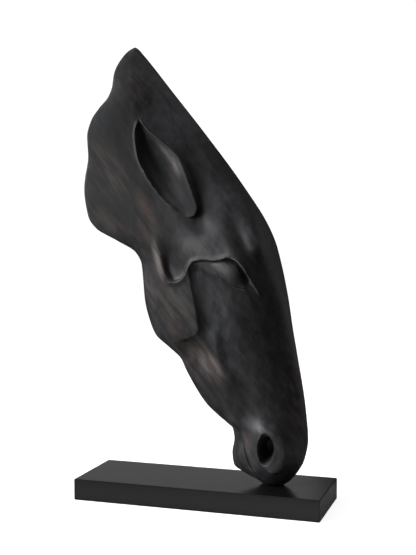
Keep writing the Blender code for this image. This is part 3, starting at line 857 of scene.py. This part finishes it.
def mark_crests(mesh: bpy.types.Mesh) -> None:
    """Store how far each vertex stands out as a crest, or lies back as a crevice.

    The mark is 0 on level ground, towards 1 on a crest and towards -1 in a crevice.
    """
    places = read_rows(mesh.vertices, "co", 3).astype(float)
    normals = read_rows(mesh.vertices, "normal", 3)
    ends = read_rows(mesh.edges, "vertices", 2, np.int32)
    way = places[ends[:, 0]] - places[ends[:, 1]]
    square = np.maximum((way ** 2).sum(axis=1), LEAST_SQUARE)
    bend = (way * (normals[ends[:, 0]] - normals[ends[:, 1]])).sum(axis=1) / square
    total = np.bincount(ends.ravel(), np.repeat(bend, 2), len(places))
    bend = total / np.maximum(np.bincount(ends.ravel(), minlength=len(places)), 1)
    bend = np.clip(bend, -SHARPEST_BEND, SHARPEST_BEND)
    values = np.tanh(spread_out(bend, ends, CREST_ROUNDS) * CREST_SCALE)
    layer = mesh.attributes.new(CREST, "FLOAT", "POINT")
    layer.data.foreach_set("value", values.astype(np.float32))


# Finishes


@dataclass
class NodeBench:
    """A node tree that nodes are put on and joined up in."""

    tree: bpy.types.NodeTree

    def add(self, kind: str, values: Mapping[str, object] | None = None,
            **settings: object) -> bpy.types.Node:
        """Put a node down.

        Args:
            kind: the node's type name.
            values: what its input sockets get: a plain value, or a socket to join.
            settings: the node's own properties.

        Returns:
            The node.
        """
        node = self.tree.nodes.new(kind)
        for key, setting in settings.items():
            setattr(node, key, setting)
        for key, value in (values or {}).items():
            self.feed(node.inputs[key], value)
        return node

    def feed(self, socket: bpy.types.NodeSocket, value: object) -> None:
        """Give a socket a plain value or join another socket to it."""
        if isinstance(value, bpy.types.NodeSocket):
            self.tree.links.new(value, socket)
        else:
            socket.default_value = value

    def sum_up(self, operation: str, first: object, second: object = 0.0,
               clamp: bool = False) -> bpy.types.NodeSocket:
        """Work out one number from two."""
        return self.add("ShaderNodeMath", {0: first, 1: second}, operation=operation,
                        use_clamp=clamp).outputs[0]

    def times(self, first: object, second: object) -> bpy.types.NodeSocket:
        """Multiply two numbers."""
        return self.sum_up("MULTIPLY", first, second)

    def work_out(self, operation: str, first: object, second: object) -> bpy.types.NodeSocket:
        """Work out one vector from two."""
        return self.add("ShaderNodeVectorMath", {0: first, 1: second},
                        operation=operation).outputs["Vector"]

    def length_of(self, vector: object) -> bpy.types.NodeSocket:
        """Work out a vector's length."""
        return self.add("ShaderNodeVectorMath", {0: vector}, operation="LENGTH").outputs["Value"]

    def triple(self, x: object, y: object, z: object) -> bpy.types.NodeSocket:
        """Join three numbers into a vector."""
        return self.add("ShaderNodeCombineXYZ", {"X": x, "Y": y, "Z": z}).outputs[0]

    def turned(self, vector: object, angle: object) -> bpy.types.NodeSocket:
        """Turn a vector about the Y axis."""
        return self.add("ShaderNodeVectorRotate", {
            "Vector": vector, "Rotation": self.triple(0.0, angle, 0.0)},
            rotation_type="EULER_XYZ").outputs[0]

    def rescale(self, value: object, low: object, high: object, to_low: float = 0.0,
                to_high: float = 1.0) -> bpy.types.NodeSocket:
        """Take a value from one range to another, smoothly and no further."""
        return self.add("ShaderNodeMapRange", {
            "Value": value, "From Min": low, "From Max": high, "To Min": to_low,
            "To Max": to_high}, interpolation_type="SMOOTHSTEP").outputs["Result"]

    def blend(self, share: object, first: object, second: object,
              blend_type: str = "MIX") -> bpy.types.NodeSocket:
        """Mix two colours."""
        node = self.add("ShaderNodeMix", data_type="RGBA", blend_type=blend_type)
        for socket, value in zip((node.inputs[0], node.inputs[6], node.inputs[7]),
                                 (share, first, second)):
            self.feed(socket, value)
        return node.outputs[2]

    def noise(self, vector: object, scale: object, detail: float,
              roughness: float) -> bpy.types.NodeSocket:
        """Read plain noise, from 0 to 1."""
        return self.add("ShaderNodeTexNoise", {
            "Vector": vector, "Scale": scale, "Detail": detail, "Roughness": roughness}).outputs[0]

    def raise_up(self, shader: bpy.types.Node, height: object, strength: float,
                 distance: float) -> None:
        """Give a surface shader a bump."""
        bump = self.add("ShaderNodeBump", {
            "Strength": strength, "Distance": distance, "Height": height})
        self.feed(shader.inputs["Normal"], bump.outputs[0])


FLOAT, VECTOR = "NodeSocketFloat", "NodeSocketVector"
WHITE: Colour = (1.0, 1.0, 1.0, 1.0)
NOISE_SPAN: Point = (0.3, 0.7)
CLOUD_SPAN: Point = (0.25, 0.75)
PATCH_EDGE: Point = (0.15, 1.35)
BREAKUP_REACH = 0.6


@dataclass(frozen=True)
class EffectGroup:
    """A shader node group with named inputs and outputs.

    An input has a name, a kind and, where it is a number, a first value.
    """

    name: str
    inputs: tuple[tuple[str, str, float], ...]
    outputs: tuple[str, ...]

    def open_group(self) -> tuple[NodeBench, bpy.types.NodeOutputs, bpy.types.NodeInputs]:
        """Make the empty group.

        Returns:
            The bench to build it on, what the group is given and what it gives.
        """
        tree = bpy.data.node_groups.new(self.name, "ShaderNodeTree")
        for name, kind, default in self.inputs:
            socket = tree.interface.new_socket(name=name, in_out="INPUT", socket_type=kind)
            if kind == FLOAT:
                socket.default_value = default
        for name in self.outputs:
            tree.interface.new_socket(name=name, in_out="OUTPUT", socket_type=FLOAT)
        bench = NodeBench(tree)
        return bench, bench.add("NodeGroupInput").outputs, bench.add("NodeGroupOutput").inputs


@dataclass
class Effects:
    """The effects that the finishes draw on, each built once."""

    grain: bpy.types.NodeTree
    mottle: bpy.types.NodeTree
    crest_wear_and_sheen_group: bpy.types.NodeTree
    patch: bpy.types.NodeTree

    @classmethod
    def build(cls) -> "Effects":
        """Build every group."""
        return cls(cls.make_grain(), cls.make_mottle(), cls.make_crest_wear_and_sheen(), cls.make_patch())

    @staticmethod
    def make_grain() -> bpy.types.NodeTree:
        """Streaks that run one way, and specks that run no way."""
        group = EffectGroup("drawn_grain", (
            ("Place", VECTOR, 0.0), ("Fineness", FLOAT, 900.0), ("Stretch", FLOAT, 0.12),
            ("Lean", FLOAT, 0.35)), ("Streaks", "Specks"))
        bench, given, result = group.open_group()
        turned = bench.turned(given["Place"], given["Lean"])
        drawn = bench.work_out("MULTIPLY", turned, bench.triple(1.0, 1.0, given["Stretch"]))
        for name, vector, detail, roughness in (
                ("Streaks", drawn, 4.0, 0.6), ("Specks", given["Place"], 2.0, 0.7)):
            bench.feed(result[name], bench.noise(vector, given["Fineness"], detail, roughness))
        return bench.tree

    @staticmethod
    def make_mottle() -> bpy.types.NodeTree:
        """Soft cloudy patches, large and small."""
        group = EffectGroup("soft_mottle", (
            ("Place", VECTOR, 0.0), ("Size", FLOAT, 14.0), ("Contrast", FLOAT, 1.0)),
            ("Clouds", "Smears"))
        bench, given, result = group.open_group()
        for name, finer, detail, roughness in (
                ("Clouds", 1.0, 4.0, 0.55), ("Smears", 4.3, 5.0, 0.6)):
            size = bench.times(given["Size"], finer)
            noise = bench.noise(given["Place"], size, detail, roughness)
            off = bench.sum_up("SUBTRACT", bench.rescale(noise, *NOISE_SPAN), 0.5)
            scaled = bench.times(off, given["Contrast"])
            bench.feed(result[name], bench.sum_up("ADD", scaled, 0.5, clamp=True))
        return bench.tree

    @staticmethod
    def make_crest_wear_and_sheen() -> bpy.types.NodeTree:
        """Pale on what stands out, partly wear and partly painted edge highlight, broken up by
        noise.
        """
        group = EffectGroup("crest_wear_and_sheen", (
            ("Crest", FLOAT, 0.0), ("Breakup", FLOAT, 0.5), ("Low", FLOAT, 0.2),
            ("High", FLOAT, 0.8)), ("Mask",))
        bench, given, result = group.open_group()
        broken = bench.times(bench.sum_up("SUBTRACT", given["Breakup"], 0.5), BREAKUP_REACH)
        lifted = bench.sum_up("ADD", given["Crest"], broken)
        bench.feed(result["Mask"], bench.rescale(lifted, given["Low"], given["High"]))
        return bench.tree

    @staticmethod
    def make_patch() -> bpy.types.NodeTree:
        """A soft-edged oval on the flanks, right through from one side to the other."""
        group = EffectGroup("soft_patch", (
            ("Place", VECTOR, 0.0), ("Middle", VECTOR, 0.0), ("Turn", FLOAT, 0.0),
            ("Half Length", FLOAT, 0.05), ("Half Width", FLOAT, 0.02)), ("Mask",))
        bench, given, result = group.open_group()
        off = bench.work_out("SUBTRACT", given["Place"], given["Middle"])
        flat = bench.work_out("MULTIPLY", bench.turned(off, given["Turn"]), (1.0, 0.0, 1.0))
        sizes = bench.triple(given["Half Length"], 1.0, given["Half Width"])
        reach = bench.length_of(bench.work_out("DIVIDE", flat, sizes))
        bench.feed(result["Mask"], bench.rescale(reach, *PATCH_EDGE, 1.0, 0.0))
        return bench.tree

    @staticmethod
    def place(bench: NodeBench, tree: bpy.types.NodeTree,
              values: Mapping[str, object]) -> bpy.types.NodeOutputs:
        """Put a group into a material with its own values and give its outputs."""
        node = bench.add("ShaderNodeGroup", node_tree=tree)
        for key, value in values.items():
            bench.feed(node.inputs[key], value)
        return node.outputs

    def draw_grain(self, bench: NodeBench, place: bpy.types.NodeSocket, fineness: float,
                   stretch: float, lean: float) -> bpy.types.NodeOutputs:
        """Put grain into a material and give its outputs."""
        return self.place(bench, self.grain, {
            "Place": place, "Fineness": fineness, "Stretch": stretch, "Lean": lean})

    def cloud_over(self, bench: NodeBench, place: bpy.types.NodeSocket, size: float,
                   contrast: float) -> bpy.types.NodeOutputs:
        """Put mottle into a material and give its outputs."""
        return self.place(bench, self.mottle, {
            "Place": place, "Size": size, "Contrast": contrast})


def open_material(name: str) -> tuple[bpy.types.Material, NodeBench, bpy.types.Node,
                                      bpy.types.NodeSocket]:
    """Start a material.

    Args:
        name: the finish's name.

    Returns:
        The material, the bench with its nodes, its surface shader and the place on the piece,
        in metres.
    """
    material = bpy.data.materials.new(name)
    material.use_nodes = True
    bench = NodeBench(material.node_tree)
    place = bench.add("ShaderNodeTexCoord").outputs["Object"]
    return material, bench, material.node_tree.nodes["Principled BSDF"], place


@dataclass(frozen=True)
class Patch:
    """A soft patch of the patina, placed like the carving."""

    spread: TurnedOval
    strength: float


def patches(*rows: tuple[Point, float, float, float, float]) -> tuple[Patch, ...]:
    """Make patches from rows of middle, half length, half width, turn and strength."""
    return tuple(Patch(TurnedOval(*spread), strength) for *spread, strength in rows)


COPPER_PATCHES = patches(
    ((-0.372, 0.708), 0.090, 0.042, -50, 0.65),
    ((-0.343, 0.578), 0.090, 0.017, -39, 0.50),
    ((-0.278, 0.600), 0.070, 0.026, -78, 0.62),
    ((-0.252, 0.515), 0.055, 0.011, -76, 0.90),
    ((-0.210, 0.385), 0.095, 0.035, -66, 0.45),
    ((-0.275, 0.430), 0.080, 0.018, -86, 0.50),
    ((-0.126, 0.274), 0.060, 0.020, -62, 0.65),
    ((-0.165, 0.282), 0.065, 0.034, -58, 0.52),
    ((-0.216, 0.728), 0.022, 0.007, -66, 1.00),
    ((0.058, 0.215), 0.190, 0.026, -83, 0.30),
    ((-0.309, 0.901), 0.050, 0.020, -62, 0.35),
    ((-0.270, 0.640), 0.035, 0.016, -50, 0.45),
    ((-0.050, 0.095), 0.035, 0.014, -70, 0.35),
)
# Painted sheen: bluish highlights on the top of the neck, the forehead ridge, the brow, the cheek,
# the jaw's edge and the muzzle.
PAINTED_SHEEN_PATCHES = patches(
    ((-0.245, 0.870), 0.130, 0.055, -58, 0.90),
    ((-0.034, 0.564), 0.050, 0.012, -57, 1.00),
    ((-0.262, 0.415), 0.060, 0.020, -84, 0.55),
    ((0.000, 0.048), 0.030, 0.020, 0, 0.40),
    ((-0.143, 0.545), 0.070, 0.030, -20, 0.60),
    ((-0.099, 0.642), 0.070, 0.030, -50, 0.40),
    ((-0.004, 0.140), 0.030, 0.022, 0, 0.60),
    ((-0.108, 0.375), 0.105, 0.040, -78, 0.42),
)
# Painted shade: darker patches on the neck, in and beside the ear, in the jaw's groove and the
# fold under it, beside the cheek ridge and on the front face, where shade falls.
PAINTED_SHADE_PATCHES = patches(
    ((-0.385, 0.790), 0.190, 0.080, -80, 0.90),
    ((-0.340, 0.620), 0.100, 0.036, -34, 0.90),
    ((-0.358, 0.618), 0.044, 0.022, -45, 1.00),
    ((-0.150, 0.655), 0.075, 0.018, -66, 1.00),
    ((-0.186, 0.668), 0.070, 0.022, -62, 0.90),
    ((-0.198, 0.645), 0.045, 0.024, -58, 0.90),
    ((-0.125, 0.745), 0.090, 0.022, -60, 0.40),
    ((-0.150, 0.370), 0.070, 0.014, -80, 0.80),
    ((-0.060, 0.208), 0.050, 0.020, -62, 0.70),
    ((0.008, 0.530), 0.110, 0.014, -66, 1.00),
    ((-0.192, 0.328), 0.036, 0.010, -20, 1.00),
)
# Painted highlights: pale patches where the temple ridge, the ear's fore wall, the lid, the brow,
# the cheek ridge, the jaw and the muzzle catch the light.
PAINTED_HIGHLIGHT_PATCHES = patches(
    ((-0.251, 0.508), 0.044, 0.010, -76, 0.75),
    ((-0.200, 0.400), 0.090, 0.036, -76, 0.16),
    ((-0.226, 0.738), 0.055, 0.016, -56, 0.48),
    ((-0.090, 0.497), 0.036, 0.014, -22, 0.30),
    ((-0.118, 0.268), 0.045, 0.010, -60, 0.35),
    ((-0.010, 0.138), 0.024, 0.016, 0, 0.34),
    ((-0.150, 0.535), 0.060, 0.022, -16, 0.25),
    ((-0.172, 0.300), 0.034, 0.014, -40, 0.50),
    ((-0.090, 0.150), 0.036, 0.014, -62, 0.14),
    ((-0.040, 0.568), 0.042, 0.010, -62, 0.20),
    ((-0.250, 0.870), 0.080, 0.036, -58, 0.12),
)
# Places where the pale crest lines, partly wear and partly painted edge highlight, are left off.
NO_CREST_WEAR_AND_SHEEN_PATCHES = patches(
    ((-0.225, 0.740), 0.110, 0.034, -46, 0.90),
    ((-0.168, 0.660), 0.080, 0.030, -66, 0.80),
    ((-0.168, 0.390), 0.110, 0.034, -86, 0.85),
    ((-0.190, 0.330), 0.050, 0.026, -20, 0.85),
    ((0.012, 0.092), 0.060, 0.024, 86, 0.70),
)
MATTE_PATCHES = patches(
    ((-0.225, 0.710), 0.125, 0.045, -60, 1.00),
    ((-0.180, 0.640), 0.060, 0.030, -60, 1.00),
    ((0.020, 0.490), 0.140, 0.020, -70, 0.50),
    ((-0.122, 0.618), 0.050, 0.026, -62, 0.80),
    ((0.004, 0.066), 0.030, 0.018, 70, 0.90),
    ((-0.395, 0.745), 0.200, 0.055, -84, 0.55),
    ((-0.350, 0.600), 0.070, 0.050, -30, 0.40),
)


@dataclass(frozen=True)
class DarkPatina:
    """Near-black patina over red-brown metal, pale along the crests, partly with wear and partly
    with painted edge highlight, with painted shade, a painted bluish sheen and painted highlights
    in patches.

    The hairlines and the brush have a fineness, a stretch and a lean, and the clouds a size and
    a contrast.
    """

    charcoal: Colour = (0.0362, 0.0344, 0.0365, 1.0)
    # The dark end of the cloudy tone, and also the colour that the painted shade patches pull
    # towards.
    dark_and_painted_shade: Colour = (0.0088, 0.0086, 0.0094, 1.0)
    copper: Colour = (0.098, 0.058, 0.043, 1.0)
    # A painted bluish sheen, standing in for highlights.
    painted_sheen: Colour = (0.048, 0.052, 0.064, 1.0)
    # The pale colour of the worn crests, and also of the painted highlights.
    pale_wear_and_highlight_colour: Colour = (0.200, 0.182, 0.172, 1.0)
    hairlines: Triple = (620.0, 0.12, 0.42)
    brush: Triple = (135.0, 0.13, 0.66)
    brush_edge: Point = (0.34, 0.66)
    clouds: Point = (24.0, 1.05)
    clouds_drawn_down: Triple = (1.0, 1.0, 0.5)
    # Where the pale crest lines start and how strong they are: partly wear, partly painted edge
    # highlight.
    crest_wear_and_sheen_start: Point = (0.30, 0.85)
    crest_wear_and_sheen_strength: float = 0.55
    least_streak: float = 0.4
    painted_shade_cover: float = 0.85
    unevenness: Point = (0.88, 1.12)
    gloss: float = 0.4
    roughness: Point = (0.46, 0.53)
    hairline_roughness: float = 0.20
    matte_roughness: float = 0.34
    bump: float = 0.14
    bump_height: float = 0.0008
    bump_shares: Point = (0.7, 0.6)
    name: str = "dark_patina"

    @staticmethod
    def gather(bench: NodeBench, effects: Effects, place: bpy.types.NodeSocket,
               kind: tuple[Patch, ...]) -> bpy.types.NodeSocket:
        """Mask all patches of one kind.

        Args:
            bench: the material's bench.
            effects: the shared node groups.
            place: the place on the head, in shares of its height.
            kind: the patches.

        Returns:
            The strongest patch's strength at each place.
        """
        total = 0.0
        for patch in kind:
            spread = patch.spread
            mask = effects.place(bench, effects.patch, {
                "Place": place, "Middle": (spread.middle[0], 0.0, spread.middle[1]),
                "Turn": math.radians(spread.turn), "Half Length": spread.half_length,
                "Half Width": spread.half_width})["Mask"]
            total = bench.sum_up("MAXIMUM", total, bench.times(mask, patch.strength))
        return total

    def make(self, effects: Effects, seat: Point, height: float) -> bpy.types.Material:
        """Build the material.

        Args:
            effects: the shared node groups.
            seat: the forward and upward place that shares are measured from.
            height: the head's height, that a share of 1 stands for.

        Returns:
            The material.
        """
        material, bench, shader, place = open_material(self.name)
        off = bench.work_out("SUBTRACT", place, (seat[0], 0.0, seat[1]))
        share_place = bench.work_out("DIVIDE", off, (height, height, height))
        copper, painted_sheen, dark_and_painted_shade, painted_highlight, no_crest_wear_and_sheen, matte = (
            self.gather(bench, effects, share_place, kind) for kind in (
                COPPER_PATCHES, PAINTED_SHEEN_PATCHES, PAINTED_SHADE_PATCHES, PAINTED_HIGHLIGHT_PATCHES, NO_CREST_WEAR_AND_SHEEN_PATCHES,
                MATTE_PATCHES))
        hairlines = effects.draw_grain(bench, place, *self.hairlines)["Streaks"]
        brush = effects.draw_grain(bench, place, *self.brush)["Streaks"]
        streak = bench.rescale(brush, *self.brush_edge)
        drawn_down = bench.work_out("MULTIPLY", place, self.clouds_drawn_down)
        mottle = effects.cloud_over(bench, drawn_down, *self.clouds)
        smears = mottle["Smears"]
        cloudy = bench.sum_up("ADD", bench.sum_up("ADD", mottle["Clouds"], smears), streak)
        cloudy = bench.times(cloudy, 1 / 3)

        # Painted shade: the shade patches darken the cloudy tone towards the darkest colour.
        left_after_painted_shade = bench.sum_up("SUBTRACT", 1.0, bench.times(dark_and_painted_shade, self.painted_shade_cover))
        lightness = bench.times(cloudy, left_after_painted_shade)
        colour = bench.blend(lightness, self.dark_and_painted_shade, self.charcoal)
        # Painted sheen: bluish highlights mixed in where the sheen patches lie.
        colour = bench.blend(bench.times(painted_sheen, smears), colour, self.painted_sheen)
        colour = bench.blend(bench.times(copper, streak), colour, self.copper)
        # Pale crest lines: partly wear on what stands out, partly a painted highlight along crisp
        # edges.
        low, high = self.crest_wear_and_sheen_start
        crest = bench.add("ShaderNodeAttribute", attribute_name=CREST).outputs["Fac"]
        fine = effects.place(bench, effects.crest_wear_and_sheen_group, {
            "Crest": crest, "Breakup": smears, "Low": low, "High": high})["Mask"]
        fine = bench.sum_up("SUBTRACT", fine, no_crest_wear_and_sheen, clamp=True)
        # Painted highlights: pale patches broken up by the brush streaks, joined with the crest
        # lines.
        pale_wear_and_highlight = bench.times(painted_highlight, bench.sum_up("ADD", streak, self.least_streak, clamp=True))
        pale_wear_and_highlight = bench.sum_up("MAXIMUM", bench.times(fine, self.crest_wear_and_sheen_strength), pale_wear_and_highlight)
        colour = bench.blend(pale_wear_and_highlight, colour, self.pale_wear_and_highlight_colour)
        uneven = bench.rescale(cloudy, *CLOUD_SPAN, *self.unevenness)
        bench.feed(shader.inputs["Base Color"], bench.blend(1.0, colour, uneven, "MULTIPLY"))

        cloud = bench.rescale(lightness, 0.0, 1.0, *self.roughness)
        rough = bench.sum_up("ADD", cloud, bench.times(matte, self.matte_roughness))
        speck = bench.times(bench.sum_up("SUBTRACT", hairlines, 0.5), self.hairline_roughness)
        bench.feed(shader.inputs["Roughness"], bench.sum_up("ADD", rough, speck))
        shader.inputs["Specular IOR Level"].default_value = self.gloss

        of_hairlines, of_smears = self.bump_shares
        raised = bench.sum_up("ADD", bench.times(hairlines, of_hairlines),
                              bench.times(smears, of_smears))
        bench.raise_up(shader, raised, self.bump, self.bump_height)
        return material


@dataclass(frozen=True)
class SatinBlack:
    """A sprayed satin black, with a faint bloom of dust on top."""

    black: Colour = (0.0068, 0.0066, 0.0066, 1.0)
    bloom: Colour = (0.0110, 0.0106, 0.0104, 1.0)
    grain: Triple = (1400.0, 0.8, 0.0)
    clouds: Point = (9.0, 0.8)
    roughness: Point = (0.20, 0.23)
    speck_roughness: float = 0.04
    bump: float = 0.03
    bump_height: float = 0.0002
    name: str = "satin_black"

    def make(self, effects: Effects) -> bpy.types.Material:
        """Build the material.

        Args:
            effects: the shared node groups.

        Returns:
            The material.
        """
        material, bench, shader, place = open_material(self.name)
        specks = effects.draw_grain(bench, place, *self.grain)["Specks"]
        mottle = effects.cloud_over(bench, place, *self.clouds)
        bench.feed(shader.inputs["Base Color"],
                   bench.blend(mottle["Clouds"], self.black, self.bloom))
        rough = bench.rescale(mottle["Smears"], 0.0, 1.0, *self.roughness)
        speck = bench.times(bench.sum_up("SUBTRACT", specks, 0.5), self.speck_roughness)
        bench.feed(shader.inputs["Roughness"], bench.sum_up("ADD", rough, speck))
        bench.raise_up(shader, specks, self.bump, self.bump_height)
        return material


# The studio


@dataclass(frozen=True)
class SoftLight:
    """A rectangular soft light."""

    name: str
    place: Triple
    aim: Triple
    size: Point
    power: float
    tint: Triple = (1.0, 1.0, 1.0)
    spread: float = 180.0

    def build(self) -> bpy.types.Object:
        """Hang the light, turned to its aim and hidden from the camera."""
        lamp = bpy.data.lights.new(self.name, "AREA")
        lamp.shape = "RECTANGLE"
        lamp.size, lamp.size_y = self.size
        lamp.energy = self.power
        lamp.color = self.tint
        lamp.spread = math.radians(self.spread)
        light = put_in_scene(self.name, lamp, self.place, self.aim)
        light.visible_camera = False
        return light


@dataclass(frozen=True)
class Studio:
    """A pale floor, soft lights, and the camera.

    The camera sees the floor and the room white.  The sculpture sees the room dim and the floor
    dark, except beside the base's front and its muzzle end, where the floor shines up at it.
    """

    floor_reach: float = 12.0
    floor_white: Colour = (0.90, 0.90, 0.90, 1.0)
    floor_roughness: float = 0.9
    floor_glow: Point = (0.80, 1.0)
    floor_glow_reach: Point = (0.3, 1.0)
    floor_dark: Colour = (0.10, 0.10, 0.10, 1.0)
    floor_bright: Colour = (0.80, 0.80, 0.80, 1.0)
    end_patch: Triple = (0.26, 0.02, 0.0)
    end_patch_reach: Point = (0.08, 0.16)
    end_patch_share: float = 0.7
    front_strip: float = -0.11
    front_strip_reach: Point = (0.03, 0.07)
    room_light: Point = (0.070, 1.1)
    camera_place: Triple = (0.4028, -1.2346, 0.3670)
    camera_aim: Triple = (0.003, 0.0, 0.2955)
    lens: float = 64.17
    sensor: float = 36.0
    sight: float = 60.0
    lights: tuple[SoftLight, ...] = (
        SoftLight("window", (-1.5, -1.1, 0.9), (0.07, 0.0, 0.12), (1.8, 1.8), 12.8,
                  (0.96, 0.98, 1.0), 54.0),
        SoftLight("ceiling", (0.0, 0.1, 2.0), (0.0, 0.0, 0.0), (1.6, 1.6), 6.0),
        SoftLight("backdrop", (-1.68, 2.2, 0.7), (0.0, 0.0, 0.2), (3.0, 1.4), 2.8),
        SoftLight("far side", (1.8, 1.0, 0.8), (0.0, 0.0, 0.3), (1.4, 1.2), 4.8),
    )

    def build_floor(self) -> bpy.types.Object:
        """Lay the floor and dress it."""
        reach = self.floor_reach
        mesh = bpy.data.meshes.new("floor")
        mesh.from_pydata([(-reach, -reach, 0), (reach, -reach, 0), (reach, reach, 0),
                          (-reach, reach, 0)], [], [(0, 1, 2, 3)])
        mesh.materials.append(self.floor_finish())
        floor = put_in_scene("floor", mesh)
        return floor

    def floor_finish(self) -> bpy.types.Material:
        """Build the floor's material: one look to the camera and another to the sculpture."""
        material, bench, shader, place = open_material("pale_floor")
        shader.inputs["Base Color"].default_value = self.floor_white
        shader.inputs["Roughness"].default_value = self.floor_roughness
        shader.inputs["Emission Color"].default_value = WHITE
        glow = bench.rescale(bench.length_of(place), *self.floor_glow_reach, *self.floor_glow)
        bench.feed(shader.inputs["Emission Strength"], glow)
        off_end = bench.length_of(bench.work_out("SUBTRACT", place, self.end_patch))
        at_end = bench.rescale(off_end, *self.end_patch_reach, self.end_patch_share, 0.0)
        across = bench.add("ShaderNodeSeparateXYZ", {"Vector": place}).outputs["Y"]
        off_front = bench.sum_up("ABSOLUTE", bench.sum_up("SUBTRACT", across, self.front_strip))
        at_front = bench.rescale(off_front, *self.front_strip_reach, 1.0, 0.0)
        lit = bench.sum_up("MAXIMUM", at_end, at_front)
        dull = bench.add("ShaderNodeBsdfDiffuse", {
            "Color": bench.blend(lit, self.floor_dark, self.floor_bright)})
        seen = bench.add("ShaderNodeLightPath").outputs["Is Camera Ray"]
        mixed = bench.add("ShaderNodeMixShader", {
            0: seen, 1: dull.outputs[0], 2: shader.outputs[0]})
        bench.feed(material.node_tree.nodes["Material Output"].inputs["Surface"],
                   mixed.outputs[0])
        return material

    def build_world(self) -> None:
        """Light the room softly: white to the camera, dim to the sculpture."""
        world = bpy.data.worlds.new("studio")
        bpy.context.scene.world = world
        world.use_nodes = True
        bench = NodeBench(world.node_tree)
        seen = bench.add("ShaderNodeLightPath").outputs["Is Camera Ray"]
        background = world.node_tree.nodes["Background"]
        background.inputs["Color"].default_value = WHITE
        bench.feed(background.inputs["Strength"], bench.rescale(seen, 0.0, 1.0, *self.room_light))

    def build_camera(self) -> bpy.types.Object:
        """Set the camera where the photograph was taken from."""
        data = bpy.data.cameras.new("camera")
        data.lens = self.lens
        data.sensor_width = self.sensor
        data.clip_end = self.sight
        camera = put_in_scene("camera", data, self.camera_place, self.camera_aim)
        bpy.context.scene.camera = camera
        return camera

    def build(self) -> None:
        """Build the whole studio."""
        bpy.context.scene.view_settings.view_transform = "Standard"
        self.build_camera()
        self.build_world()
        self.build_floor()
        for light in self.lights:
            light.build()


def dress_base(finish: bpy.types.Material) -> bpy.types.Object:
    """Give the base's own solid its finish."""
    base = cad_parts["base"]
    base.data.materials.clear()
    base.data.materials.append(finish)
    return base


def main() -> None:
    """Build the sculpture and its studio, piece by piece."""
    logging.basicConfig(level=logging.INFO, format="%(name)s: %(message)s")
    Studio().build()
    effects = Effects.build()
    base = dress_base(SatinBlack().make(effects))
    log.info("%s keeps its solid and is satin black", base.name)
    head_low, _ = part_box("horse_head")
    _, base_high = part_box("base")
    head = HorseHead(
        seat=(base_high.x - SEAT_BACK_FROM_EDGE, head_low.z), height=HEAD_HEIGHT,
        thickness=HEAD_THICKNESS, fineness=Fineness.FULL)
    piece = head.build(DarkPatina().make(effects, head.seat, head.height))
    log.info("%s has %d triangles", piece.name, triangles(piece.data))


if __name__ == "__main__":
    main()
